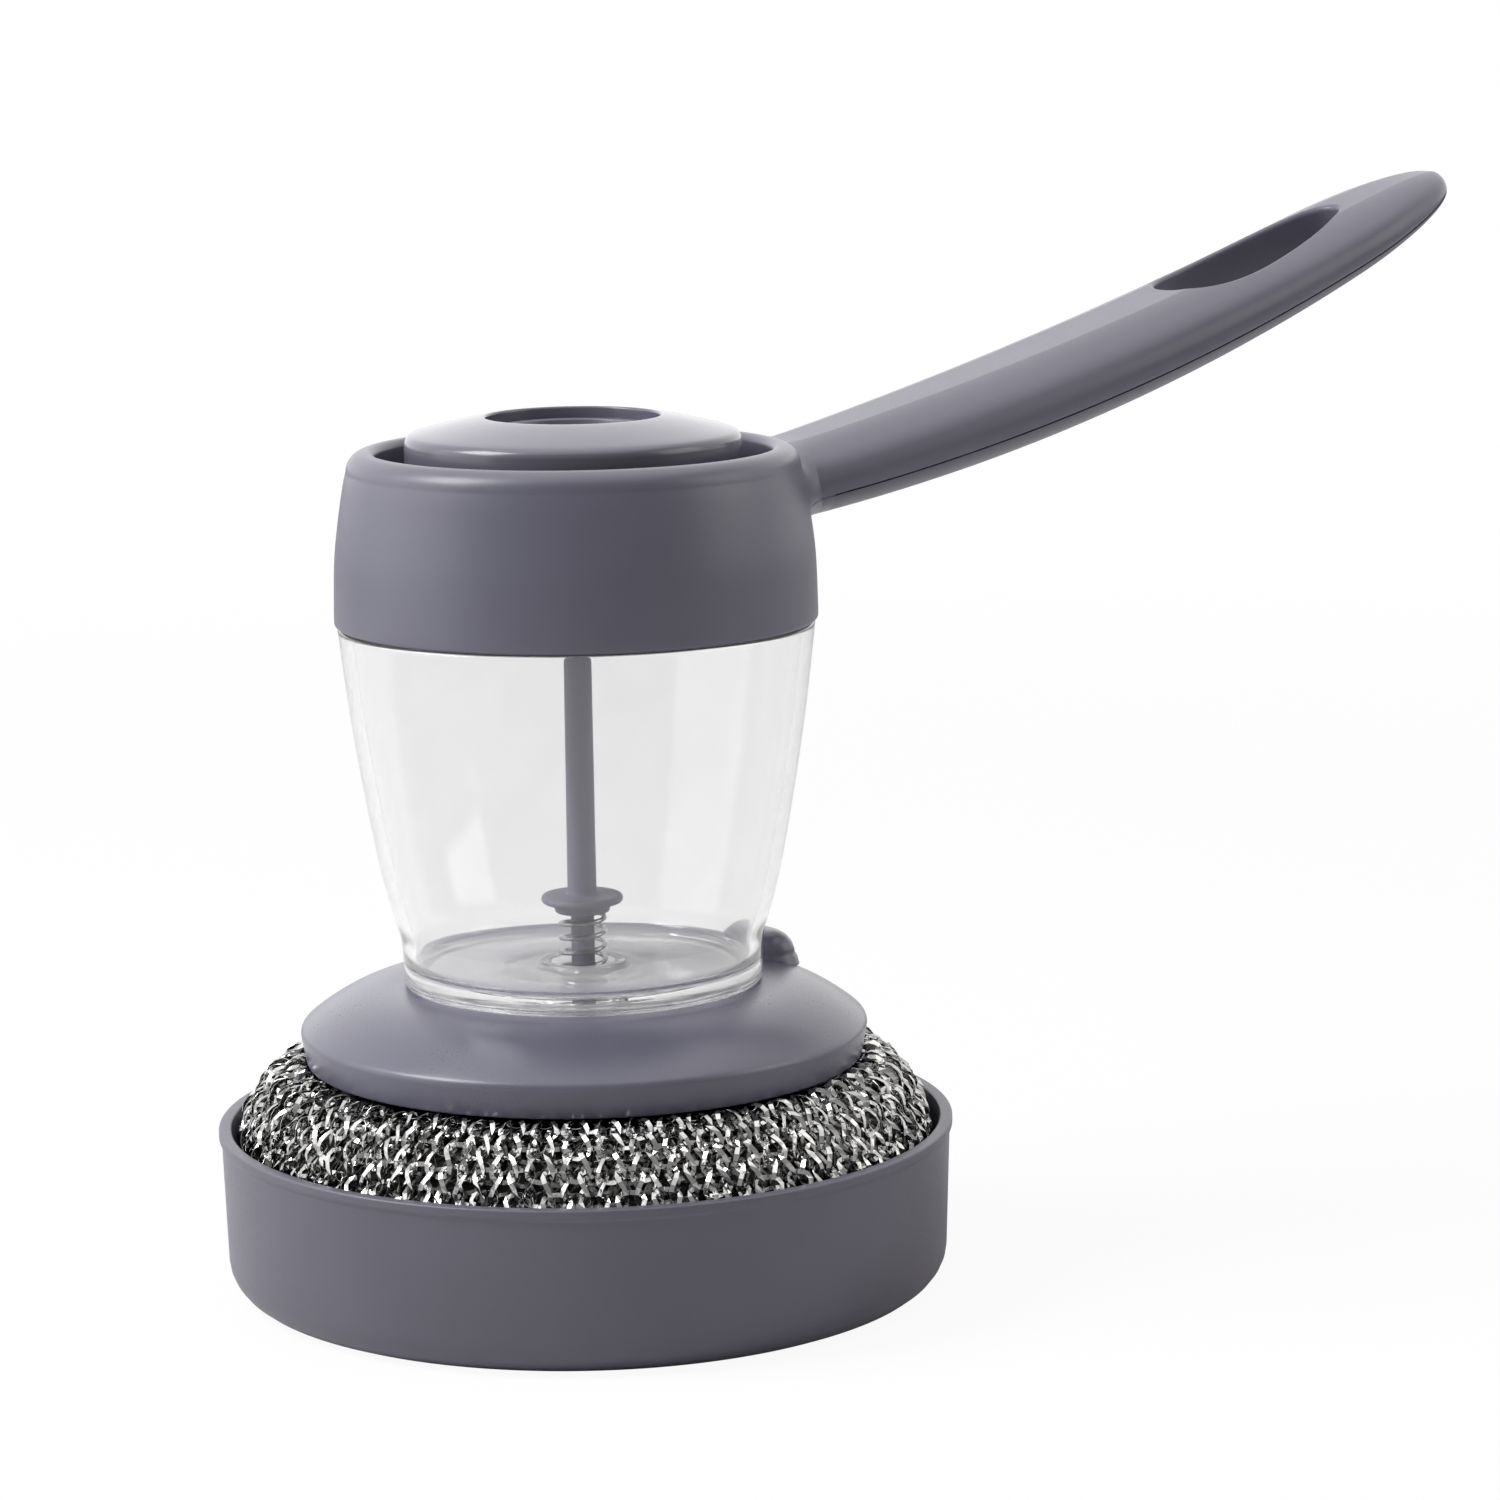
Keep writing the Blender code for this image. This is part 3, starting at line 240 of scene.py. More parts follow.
moulding = {
    "clouds": (38, 3.0, 0.55), "waves": (120, 1.0),   # noise scale, detail, roughness
    "specks": 2.3,                                    # scale, as a share of the grain's
    "waveBump": (0.06, 0.35), "grainBump": 0.6, "ior": 1.5,
}
rolling = {"patches": (420, 2.0), "lines": (3.0, 0.6), "bump": 0.7}
rubber = {"tint": (0.33, 0.34, 0.37), "bloom": (260, 3.0), "rough": (0.45, 0.62), "grain": 2600, "bump": (0.01, 0.5),
          "glow": 0.15, "glowReach": 0.001}
clear = {
    "tint": (0.945, 0.945, 0.95), "rough": (0.0, 0.04), "ior": 1.49,
    "smears": (55, 4.0, 0.6), "sink": (30, 1.0), "sinkBump": (0.08, 0.5),
    "haze": (0.015, 0.05),            # share of milky scatter in the walls, between clear and smeared
    "floorHazeAndSheen": 0.36,                # and on the floor of the tank: partly haze, partly painted sheen for the bright surround the floor reflects
    "floorBand": (0.0481, 0.0471),    # metres: the floor's haze and painted sheen come in between these heights
    "floorLow": 0.0461, "floorReach": 0.0236,
    "milk": (0.84, 0.835, 0.84, 1),
    "lampTint": (0.93, 0.93, 0.935, 1),
}


def noise(tree, place, scale, detail=2.0, rough=0.5):
    values = {"Vector": place, "Scale": scale, "Detail": detail, "Roughness": rough}
    return node(tree, "ShaderNodeTexNoise", values).outputs["Fac"]


def tintRamp(tree, value, tint, stops):
    # shades of the tint at the stops of a noise value
    ramp = node(tree, "ShaderNodeValToRGB", {"Fac": value})
    while len(ramp.color_ramp.elements) < len(stops):
        ramp.color_ramp.elements.new(0.5)
    for element, (place, share) in zip(ramp.color_ramp.elements, stops):
        element.position = place
        element.color = (*(channel * share for channel in tint), 1)
    return ramp.outputs["Color"]


def bump(tree, height, depth, strength, below=None):
    values = {"Strength": strength, "Distance": depth * mm, "Height": height}
    if below is not None:
        values["Normal"] = below
    return node(tree, "ShaderNodeBump", values).outputs["Normal"]


def startMaterial(name):
    made = bpy.data.materials.new(name)
    made.use_nodes = True
    tree = made.node_tree
    place = node(tree, "ShaderNodeTexCoord").outputs["Object"]
    return made, tree, tree.nodes["Principled BSDF"], place


def mouldedPlastic(name, tint, rough, grain, depth, cloud):
    # satin moulded plastic: fine grain, faint flow clouds and patches that differ in gloss
    made, tree, shader, place = startMaterial(name)
    clouds = noise(tree, place, *moulding["clouds"])
    specks = noise(tree, place, grain * moulding["specks"], 1.0)
    gloss = maths(tree, "MULTIPLY", maths(tree, "ADD", clouds, specks), 0.5)
    flow = bump(tree, noise(tree, place, *moulding["waves"]), *moulding["waveBump"])
    feed(tree, shader, {
        "Base Color": tintRamp(tree, clouds, tint, [(0.28, 1 - cloud), (0.5, 1), (0.72, 1 + cloud)]),
        "Roughness": spread(tree, gloss, *rough, 0.35, 0.65),
        "Normal": bump(tree, noise(tree, place, grain, 2.0, 0.6), depth, moulding["grainBump"], flow),
        "IOR": moulding["ior"], "Specular IOR Level": 0.5,
    })
    return made


def clearPlastic(name, finish):
    # polished clear plastic that lets the lamps through, with a little haze, and a milky floor that is partly haze
    # and partly painted sheen
    made, tree, shader, place = startMaterial(name)
    smears = noise(tree, place, *finish["smears"])
    feed(tree, shader, {
        "Base Color": (*finish["tint"], 1), "Transmission Weight": 1.0, "IOR": finish["ior"],
        "Roughness": spread(tree, smears, *finish["rough"]),
        "Normal": bump(tree, noise(tree, place, *finish["sink"]), *finish["sinkBump"]),
    })
    height = node(tree, "ShaderNodeSeparateXYZ", {0: place}).outputs["Z"]
    reach = vectorMaths(tree, "LENGTH", {0: vectorMaths(tree, "MULTIPLY", {0: place, 1: (1, 1, 0)})}, "Value")
    above = maths(tree, "GREATER_THAN", height, finish["floorLow"])
    onFloor = maths(tree, "MULTIPLY", above, maths(tree, "LESS_THAN", reach, finish["floorReach"]))
    # the floor's milk: partly haze, partly painted sheen standing in for the reflected bright surround
    floorHazeAndSheen = spread(tree, height, 0.0, finish["floorHazeAndSheen"], *finish["floorBand"])
    floorHazeAndSheen = maths(tree, "MULTIPLY", floorHazeAndSheen, onFloor)
    haze = maths(tree, "MAXIMUM", spread(tree, smears, *finish["haze"]), floorHazeAndSheen)
    front = node(tree, "ShaderNodeBsdfDiffuse", {"Color": finish["milk"]}).outputs[0]
    through = node(tree, "ShaderNodeBsdfTranslucent", {"Color": finish["milk"]}).outputs[0]
    hazy = blend(tree, haze, shader.outputs[0], blend(tree, 0.5, front, through))
    shadow = node(tree, "ShaderNodeLightPath").outputs["Is Shadow Ray"]
    lampWay = node(tree, "ShaderNodeBsdfTransparent", {"Color": finish["lampTint"]}).outputs[0]
    feed(tree, tree.nodes["Material Output"], {"Surface": blend(tree, shadow, hazy, lampWay)})
    return made


def siliconeRubber(name, finish):
    made, tree, shader, place = startMaterial(name)
    bloom = noise(tree, place, *finish["bloom"])
    feed(tree, shader, {
        "Base Color": tintRamp(tree, bloom, finish["tint"], [(0.3, 0.9), (0.7, 1.08)]),
        "Roughness": spread(tree, bloom, *finish["rough"]),
        "Normal": bump(tree, noise(tree, place, finish["grain"]), *finish["bump"]),
        "Subsurface Weight": finish["glow"], "Subsurface Scale": finish["glowReach"],
    })
    return made


def brightSteel(name, tint, rough, streaks, depth):
    # rolled or drawn steel: patches of unlike brightness and fine streaks
    made, tree, shader, place = startMaterial(name)
    patches = noise(tree, place, *rolling["patches"])
    lines = noise(tree, place, streaks, *rolling["lines"])
    feed(tree, shader, {
        "Metallic": 1.0,
        "Base Color": tintRamp(tree, patches, tint, [(0.32, 0.80), (0.5, 1), (0.68, 1.12)]),
        "Roughness": spread(tree, lines, *rough),
        "Normal": bump(tree, lines, depth, rolling["bump"]),
    })
    return made


looks = {name: mouldedPlastic(name, *finish) for name, finish in plastics.items()}
looks |= {name: brightSteel(name, *finish) for name, finish in steels.items()}
looks["clearTank"] = clearPlastic("clearTank", clear)
looks["greySilicone"] = siliconeRubber("greySilicone", rubber)
print("materials ready:", len(looks))

# ---- mesh helpers. Profiles are in millimetres, as (radius, height, rounding)


def roundedLine(corners, closed=False, arcSteps=6):
    count = len(corners)
    spots = [Vector(corner[:2]) for corner in corners]
    lengths = [(spots[(index + 1) % count] - spot).length for index, spot in enumerate(spots)]
    turns, reaches = [], []
    for index, corner in enumerate(corners):
        rounding = corner[2]
        before, after = spots[index - 1] - spots[index], spots[(index + 1) % count] - spots[index]
        bent = rounding > 0 and (closed or 0 < index < count - 1) and before.angle(after) < math.radians(177)
        turns.append(before.angle(after) if bent else 0)
        reaches.append(rounding / math.tan(turns[-1] / 2) if bent else 0)
    wanted = list(reaches)
    for index, length in enumerate(lengths):
        after = (index + 1) % count
        both = wanted[index] + wanted[after]
        if both > 0.98 * length:
            reaches[index] = min(reaches[index], wanted[index] * 0.98 * length / both)
            reaches[after] = min(reaches[after], wanted[after] * 0.98 * length / both)
    points = []
    for index, here in enumerate(spots):
        if not turns[index]:
            points.append(tuple(here))
            continue
        before, after = (spots[index - 1] - here).normalized(), (spots[(index + 1) % count] - here).normalized()
        radius = reaches[index] * math.tan(turns[index] / 2)
        centre = here + (before + after).normalized() * (radius / math.sin(turns[index] / 2))
        first, last = here + before * reaches[index] - centre, here + after * reaches[index] - centre
        sweep = first.angle_signed(last)
        for step in range(arcSteps + 1):
            turned = first.copy()
            turned.rotate(Matrix.Rotation(-sweep * step / arcSteps, 2))
            points.append(tuple(centre + turned))
    return points


def smoothLine(points, perSpan=6):
    # a smooth curve through the points, so many steps to each span
    padded = [points[0], *points, points[-1]]
    out = []
    for a, b, c, d in zip(padded, padded[1:], padded[2:], padded[3:]):
        for step in range(perSpan):
            t = step / perSpan
            cubic = [2 * q + (r - p) * t + (2 * p - 5 * q + 4 * r - s) * t * t + (3 * q - p - 3 * r + s) * t ** 3
                     for p, q, r, s in zip(a, b, c, d)]
            out.append(tuple(0.5 * value for value in cubic))
    return [*out, points[-1]]


def linked(name, mesh):
    made = bpy.data.objects.new(name, mesh)
    bpy.context.scene.collection.objects.link(made)
    return made


def tidy(made, sharpAngle=34):
    shape = bmesh.new()
    shape.from_mesh(made.data)
    bmesh.ops.remove_doubles(shape, verts=shape.verts, dist=0.000002)
    bmesh.ops.recalc_face_normals(shape, faces=shape.faces)
    shape.to_mesh(made.data)
    shape.free()
    made.data.shade_smooth()
    made.data.set_sharp_from_angle(angle=math.radians(sharpAngle))
    return made


def oval(angle, power):
    # a point of a rounded rectangle or oval of half sizes 1
    first, second = math.cos(angle), math.sin(angle)
    return math.copysign(abs(first) ** power, first), math.copysign(abs(second) ** power, second)


def turned(name, profile, steps=160, closed=True):
    # a profile of (radius, height) in millimetres, turned about the upright axis
    verts, rows = [], []
    for r, z in profile:
        if r < 1e-6:
            rows.append([len(verts)] * steps)
            verts.append((0, 0, z * mm))
            continue
        rows.append(list(range(len(verts), len(verts) + steps)))
        for step in range(steps):
            angle = fullTurn * step / steps
            verts.append((r * mm * math.cos(angle), r * mm * math.sin(angle), z * mm))
    pairs = list(zip(rows, rows[1:]))
    if closed:
        pairs.append((rows[-1], rows[0]))
    faces = []
    for low, high in pairs:
        for step in range(steps):
            after = (step + 1) % steps
            corners = []
            for index in (low[step], low[after], high[after], high[step]):
                if index not in corners:
                    corners.append(index)
            if len(corners) > 2:
                faces.append(corners)
    mesh = bpy.data.meshes.new(name)
    mesh.from_pydata(verts, [], faces)
    return tidy(linked(name, mesh))


def loft(name, rings, capped=True):
    verts = [tuple(point) for ring in rings for point in ring]
    size = len(rings[0])
    faces = []
    for index in range(len(rings) - 1):
        for step in range(size):
            after = (step + 1) % size
            low, high = index * size, (index + 1) * size
            faces.append((low + step, low + after, high + after, high + step))
    if capped:
        for first in (0, len(verts) - size):
            middle = len(verts)
            verts.append(tuple(sum(column) / size for column in zip(*verts[first:first + size])))
            faces += [(first + step, first + (step + 1) % size, middle) for step in range(size)]
    mesh = bpy.data.meshes.new(name)
    mesh.from_pydata(verts, [], faces)
    return tidy(linked(name, mesh))


def combine(made, others, operation):
    for other in others:
        step = made.modifiers.new(operation.lower(), "BOOLEAN")
        step.operation = operation
        step.solver = "EXACT"
        step.object = other
        graph = bpy.context.evaluated_depsgraph_get()
        mesh = bpy.data.meshes.new_from_object(made.evaluated_get(graph))
        made.modifiers.clear()
        made.data = mesh
        bpy.data.objects.remove(other)
    return tidy(made)


def place(made, look, body, replaced, slot):
    made.data.materials.clear()
    made.data.materials.append(looks[look])
    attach(made, body)
    if replaced:
        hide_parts(*replaced)
    print("piece", made.name, len(made.data.polygons), "faces")
    return made


# ---- drip tray

tray = {
    "rim": 53.3, "wallTop": 52.9, "foot": 52.2, "height": 24.0, "floor": 1.8, "lipHeight": 1.2,
    "insideTop": 51.25, "insideFoot": 50.5, "insideCorner": 3.4, "footCorner": 5.0, "rimEdges": (0.35, 0.3),
    "ribs": 6, "ribStart": 10.0, "ribEnd": 43.0, "ribWidth": 1.6, "ribTop": 2.8,
    "ribShape": ((0, 0.25), (0.02, 0.75), (0.05, 1), (0.95, 1), (0.98, 0.75), (1, 0.25)),   # along, size
    "standRing": (44.0, 48.5), "standLift": 0.35, "gate": (2.6, 0.15),
}


def makeTray():
    h, low, lip, lift = tray["height"], tray["floor"], tray["lipHeight"], tray["standLift"]
    inner, outer = tray["standRing"]
    gate, gateDepth = tray["gate"]
    inEdge, outEdge = tray["rimEdges"]
    corners = [
        (0, low, 0), (tray["insideFoot"], low, tray["insideCorner"]), (tray["insideTop"], h - 1.3, 1.2),
        (tray["insideTop"] + 0.25, h, inEdge), (tray["rim"], h, outEdge), (tray["rim"], h - lip, 0.35),
        (tray["wallTop"], h - lip - 0.55, 0.5), (tray["foot"], 0, tray["footCorner"]), (outer - 1.5, 0, 0.4),
        (inner, 0, 0.25), (inner - lift, lift, 0.3),
        (gate, lift, 0), (gate - 0.5, lift - gateDepth, 0.1), (0, lift - gateDepth, 0),
    ]
    made = turned("dripTray", roundedLine(corners), 200, closed=False)
    ribs = []
    for index in range(tray["ribs"]):
        rings = []
        for share, grow in tray["ribShape"]:
            along = tray["ribStart"] + (tray["ribEnd"] - tray["ribStart"]) * share
            half = tray["ribWidth"] / 2 * grow
            top = low + (tray["ribTop"] - low) * math.sqrt(grow)
            ring = [(-half - 0.25, low - 0.4), (-half, top - 0.3), (-half * 0.55, top)]
            ring += [(half * 0.55, top), (half, top - 0.3), (half + 0.25, low - 0.4)]
            rings.append([Vector((along, y, z)) * mm for y, z in ring])
        rib = loft("rib", rings)
        rib.data.transform(Matrix.Rotation(fullTurn * index / tray["ribs"], 4, "Z"))
        ribs.append(rib)
    return combine(made, ribs, "UNION")


place(makeTray(), "slateTray", "tray", ["drip_tray"], "drip_tray")

# ---- scourer head: disc, clamp and screws

disc = {
    "top": 44.1, "shoulder": 27.0, "edge": (41.15, 38.1), "edgeRounding": 1.3,
    "skirt": 40.3, "skirtLow": 33.4, "skirtWall": 2.2,
    "ceiling": 41.5, "hub": 15.2, "hubLow": 13.0, "outlet": 9.0, "socket": 12.8, "socketFloor": 36.1,
}
tab = {
    "x": 31.0, "halfDepth": 3.7, "halfWidth": 5.6, "top": 47.9, "rounding": 3.3, "squareness": 0.9, "sides": 56,
    "flare": 0.7, "flareRise": ((-1.2, 1), (0.02, 0.55), (0.25, 0.25), (0.6, 0.06), (1.0, 0)),   # height, share
}


def makeDisc():
    top, shoulder, skirt, wall = disc["top"], disc["shoulder"], disc["skirt"], disc["skirtWall"]
    edge, edgeTop = disc["edge"]
    crown = []
    for step in range(1, 23):
        share = step / 24
        crown.append((shoulder + (edge - shoulder) * step / 24, top - (top - edgeTop) * share ** 2, 0))
    corners = [(disc["socket"], top, 0.3), (shoulder, top, 0), *crown]
    corners += [
        (edge, edgeTop, disc["edgeRounding"]),
        (skirt, disc["skirtLow"], 0.35), (skirt - wall, disc["skirtLow"], 0.35),
        (skirt - wall - 0.3, edgeTop - 0.4, 1.2), (shoulder + 2.6, disc["ceiling"], 1.5),
        (disc["hub"], disc["ceiling"], 1.0), (disc["hub"], disc["hubLow"], 0.3),
        (disc["outlet"], disc["hubLow"], 0.3), (disc["outlet"], disc["socketFloor"], 0.2),
        (disc["socket"], disc["socketFloor"], 0.2),
    ]
    made = turned("headDisc", roundedLine(corners, closed=True), 200)
    levels = [(top + rise, tab["flare"] * share) for rise, share in tab["flareRise"]]
    rounding = tab["rounding"]
    for step in range(9):
        angle = math.radians(88 * step / 8)
        levels.append((tab["top"] - rounding + rounding * math.sin(angle), rounding * (math.cos(angle) - 1)))
    rings = []
    for z, grow in levels:
        ring = []
        for step in range(tab["sides"]):
            across, along = oval(fullTurn * step / tab["sides"], tab["squareness"])
            x, y = tab["x"] + across * (tab["halfDepth"] + grow), along * (tab["halfWidth"] + grow)
            ring.append(Vector((x, y, z)) * mm)
        rings.append(ring)
    return combine(made, [loft("thumbTab", rings)], "UNION")


place(makeDisc(), "slateDisc", "head", ["head_disc"], "head_disc")

clamp = {"radius": 20.0, "bore": 8.4, "top": 12.7, "low": 10.1, "rounding": 0.9, "groove": (15.5, 16.8),
         "grooveDepth": 0.5}
screws = {"count": 3, "circle": 12.1, "radius": 1.1, "head": 2.3, "headHeight": 1.2, "top": 19.5, "firstAngle": 60,
          "threadDepth": 0.22, "pitch": 0.62, "hole": 1.4,
          "cross": (1.25, 0.32), "crossCuts": ((-0.4, 1.06), (0.1, 1.0), (0.8, 0.55))}   # half sizes; height, share


def screwPlaces():
    for index in range(screws["count"]):
        angle = math.radians(screws["firstAngle"]) + fullTurn * index / screws["count"]
        yield index + 1, angle, Vector((math.cos(angle), math.sin(angle), 0)) * screws["circle"] * mm


def makeClamp():
    low, top, depth = clamp["low"], clamp["top"], clamp["grooveDepth"]
    inner, outer = clamp["groove"]
    corners = [
        (clamp["bore"], top, 0.3), (clamp["radius"], top, 0.3), (clamp["radius"], low, clamp["rounding"]),
        (outer, low, 0.3), (outer - 0.4, low + depth, 0.3), (inner + 0.4, low + depth, 0.3), (inner, low, 0.3),
        (clamp["bore"], low, 0.5),
    ]
    made = turned("scourerClamp", roundedLine(corners, closed=True), 140)
    head, hole, seat = screws["head"], screws["hole"], low + screws["headHeight"] + 0.3
    outline = [(0, low - 2), (head + 0.7, low - 2), (head + 0.7, low), (head + 0.3, low + 0.35),
               (head + 0.3, seat), (hole, seat), (hole, top + 2), (0, top + 2)]
    pockets = []
    for index, angle, spot in screwPlaces():
        pocket = turned("pocket", outline, 40)
        pocket.data.transform(Matrix.Translation(spot))
        pockets.append(pocket)
    return combine(made, pockets, "DIFFERENCE")


def makeScrew(index, angle, spot):
    low, head, radius, top = clamp["low"], screws["head"], screws["radius"], screws["top"]
    root, seat = radius - screws["threadDepth"], low + screws["headHeight"]
    corners = [(0, top, 0), (0.35, top, 0), (radius - 0.2, top - 1.6, 0)]
    z = top - 2.0
    while z > seat + 0.6:   # thread ridges
        corners += [(root, z, 0), (radius, z - 0.25, 0), (root, z - 0.5, 0)]
        z -= screws["pitch"]
    corners += [(radius - 0.2, seat, 0), (head, seat, 0.12), (head, low + 0.5, 0.3), (head * 0.7, low + 0.08, 0.5),
                (0, low, 0)]
    made = turned("clampScrew%d" % index, roundedLine(corners, arcSteps=4), 36, closed=False)
    blades = []
    for turn in (0, 90):
        rings = []
        for rise, grow in screws["crossCuts"]:
            half, width = (size * grow for size in screws["cross"])
            ring = ((-half, -width), (half, -width), (half, width), (-half, width))
            rings.append([Vector((x, y, low + rise)) * mm for x, y in ring])
        blade = loft("blade", rings)
        blade.data.transform(Matrix.Rotation(math.radians(turn) + angle * 1.7, 4, "Z"))
        blades.append(blade)
    combine(made, blades, "DIFFERENCE")
    made.data.transform(Matrix.Translation(spot))
    return made


place(makeClamp(), "slateInner", "head", ["scourer_clamp"], "scourer_clamp")
for index, angle, spot in screwPlaces():
    place(makeScrew(index, angle, spot), "screwSteel", "head", ["clamp_screw_%d" % index], "screw_steel")

# ---- scourer: rows of knitted flat steel ribbon, in layers

knit = {
    "wales": 62,                 # stitches round the ring
    "rowPitch": 3.5,
    "loopReach": 2.7,            # half a loop's height along the fabric
    "loopWaist": 0.235,          # how far a loop's legs lean, as a share of the stitch
    "depth": 0.62,               # legs forward, heads and feet back
    "thickness": 0.06,
    "pathEnd": 0.2,              # no ribbon runs closer to the ends of the fabric's path
    "seed": 11,
    "calm": (242, 0.45, 1.6),    # degrees where the knit lies flattest, disorder there and opposite
    "twist": (0.45, 0.6),        # of the ribbon round each loop, and its phase
    "coreSunk": 3.6, "coreInside": [(16.2, 13.6), (16.2, 34.5)],
    "layers": [
        # name, look, then: sunk by, phase in stitches, steps a stitch, disorder, ribbon width
        ("scourerKnitOuter", "ribbonSteel", 0.45, 0.0, 18, 0.9, 0.66),
        # the middle and inner layers take the darker steel copy, painted shade
        ("scourerKnitMiddle", "deepShadedRibbonSteel", 1.35, 0.5, 14, 1.4, 0.62),
        ("scourerKnitInner", "deepShadedRibbonSteel", 2.6, 0.25, 10, 2.0, 0.80),
    ],
    # the fabric's path: out from under the skirt, down the side, in under the head to the clamp
    "path": [(36.4, 30.6), (38.2, 31.6), (40.6, 33.2), (43.4, 32.7), (46.2, 30.6), (48.4, 27.6), (49.9, 24.2),
             (50.4, 20.5), (50.3, 16.5), (49.6, 11.5), (48.3, 7.2), (46.0, 4.2), (42.5, 3.3), (37.0, 3.2),
             (31.0, 3.4), (26.5, 4.4), (23.6, 7.2), (21.6, 10.4)],
}


def fabricPath():
    curve = np.array(smoothLine(knit["path"], 12))
    gaps = np.hypot(*np.diff(curve, axis=0).T)
    along = np.concatenate([[0], np.cumsum(gaps)])
    return along, curve


def pathAt(along, curve, s):
    # the path's radius and height there, and its outward direction
    r, z = (np.interp(s, along, column) for column in curve.T)
    ahead, down = (np.interp(s + 0.4, along, column) - np.interp(s - 0.4, along, column) for column in curve.T)
    size = np.hypot(ahead, down) + 1e-9
    return r, z, -down / size, ahead / size


def drift(random, rows, wales, steps, amount, per=1):
    # so many random values to a stitch, joined smoothly along the row, and wilder away from the calm side
    side, calm, wild = knit["calm"]
    count = wales * per
    values = random.uniform(-1, 1, (rows, count))
    t = np.arange(wales * steps) / steps * per
    low = np.floor(t).astype(int) % count
    share = t - np.floor(t)
    ease = share * share * (3 - 2 * share)
    away = 0.5 - 0.5 * np.cos(t / count * fullTurn - math.radians(side))
    disorder = amount * (calm + (wild - calm) * away ** 0.7)
    return disorder * (values[:, low] * (1 - ease) + values[:, (low + 1) % count] * ease)


def ribbonMesh(name, centres, sides, normals, width):
    # closed flat ribbons, one for each row of centres
    rows, count = centres.shape[:2]
    half, thin = width / 2, knit["thickness"] / 2
    corners = [centres + sides * sx * half + normals * sz * thin for sx, sz in ((-1, -1), (1, -1), (1, 1), (-1, 1))]
    verts = np.stack(corners, axis=2).reshape(-1, 3) * mm
    row, step, edge = np.meshgrid(np.arange(rows), np.arange(count), np.arange(4), indexing="ij")
    here = row * count * 4 + step * 4
    ahead = row * count * 4 + (step + 1) % count * 4
    nextEdge = (edge + 1) % 4
    faces = np.stack([here + edge, ahead + edge, ahead + nextEdge, here + nextEdge], axis=-1).reshape(-1, 4)
    mesh = bpy.data.meshes.new(name)
    mesh.from_pydata(verts, [], faces)
    return linked(name, mesh)


def makeKnit(name, sunk, phase, steps, disorder, width, random):
    along, curve = fabricPath()
    reach, end = knit["loopReach"], knit["pathEnd"]
    rows = int((along[-1] - 2 * reach) / knit["rowPitch"]) + 1
    wales = knit["wales"]

    def stray(amount, per=1):
        return drift(random, rows, wales, steps, amount * disorder, per)

    t = np.arange(wales * steps) / steps * fullTurn
    stitch = t[None, :] / fullTurn + knit["loopWaist"] * np.sin(2 * t)[None, :] + phase + stray(0.10)
    s = reach + knit["rowPitch"] * np.arange(rows)[:, None] + reach * np.cos(t)[None, :]
    s = np.clip(s + stray(0.38) + stray(0.15, 5), end, along[-1] - end)
    r, z, outR, outZ = pathAt(along, curve, s)
    lift = -knit["depth"] * np.cos(2 * t)[None, :] - sunk + stray(0.30) + stray(0.20, 5)
    angle = stitch / wales * fullTurn
    radial = np.stack([np.cos(angle), np.sin(angle), np.zeros_like(angle)], axis=-1)
    upright = np.array([0.0, 0.0, 1.0])
    normals = radial * outR[..., None] + upright * outZ[..., None]
    centres = radial * r[..., None] + upright * z[..., None] + normals * lift[..., None]
    tangents = np.roll(centres, -1, axis=1) - np.roll(centres, 1, axis=1)
    tangents /= np.linalg.norm(tangents, axis=-1, keepdims=True)
    sides = np.cross(tangents, normals)
    sides /= np.linalg.norm(sides, axis=-1, keepdims=True)
    square = np.cross(sides, tangents)
    turn, start = knit["twist"]
    twist = turn * np.sin(t + start)[None, :] + stray(0.6) + stray(1.1, 5)
    cosine, sine = np.cos(twist)[..., None], np.sin(twist)[..., None]
    return ribbonMesh(name, centres, sides * cosine + square * sine, square * cosine - sides * sine, width)


def makeScourerCore():
    # the imported ribbon deep inside, seen only as dark between the loops: a near-black solid, painted shade
    along, curve = fabricPath()
    sunk = knit["coreSunk"]
    outline = []
    for s in np.linspace(1.0, along[-1] - 1.0, 40):
        r, z, outR, outZ = pathAt(along, curve, s)
        outline.append((float(r - outR * sunk), float(z - outZ * sunk)))
    return turned("scourerCore", outline + knit["coreInside"], 120)


random = np.random.RandomState(knit["seed"])
for name, look, *layer in knit["layers"]:
    place(makeKnit(name, *layer, random), look, "head", [], "scourer")
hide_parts("scourer")
place(makeScourerCore(), "shadedPackedSteel", "head", [], "scourer")

# ---- clear tank

tank = {
    "shoulder": 96.6, "foot": 44.4, "topRadius": 34.2, "footRadius": 25.9, "wall": 1.8,
    "falls": (0.0, 0.20, 0.38, 0.54, 0.68, 0.79, 0.88, 1.0),
    "draws": (0.0, 0.145, 0.305, 0.475, 0.64, 0.81, 0.965, 1.0),
    "joint": 30.8, "neckBase": 104.2, "neck": 21.6, "neckTop": 118.0, "neckWall": 2.4,
    "floor": 46.7, "under": 45.0, "footWidth": 3.4, "corner": 2.2,
    "spigot": 12.5, "spigotWall": 2.0, "spigotLow": 37.6,
    "well": 4.6, "wellWall": 1.7, "wellFloor": 41.8, "bore": 2.7, "seat": 40.2, "lip": 0.8,
}


def tankSide(inset):
    height, draw = tank["shoulder"] - tank["foot"], tank["topRadius"] - tank["footRadius"]
    points = [(tank["topRadius"] - draw * drawn - inset, tank["shoulder"] - height * fall)
              for fall, drawn in zip(tank["falls"], tank["draws"])]
    return [(r, z, 0) for r, z in smoothLine(points, 7)]


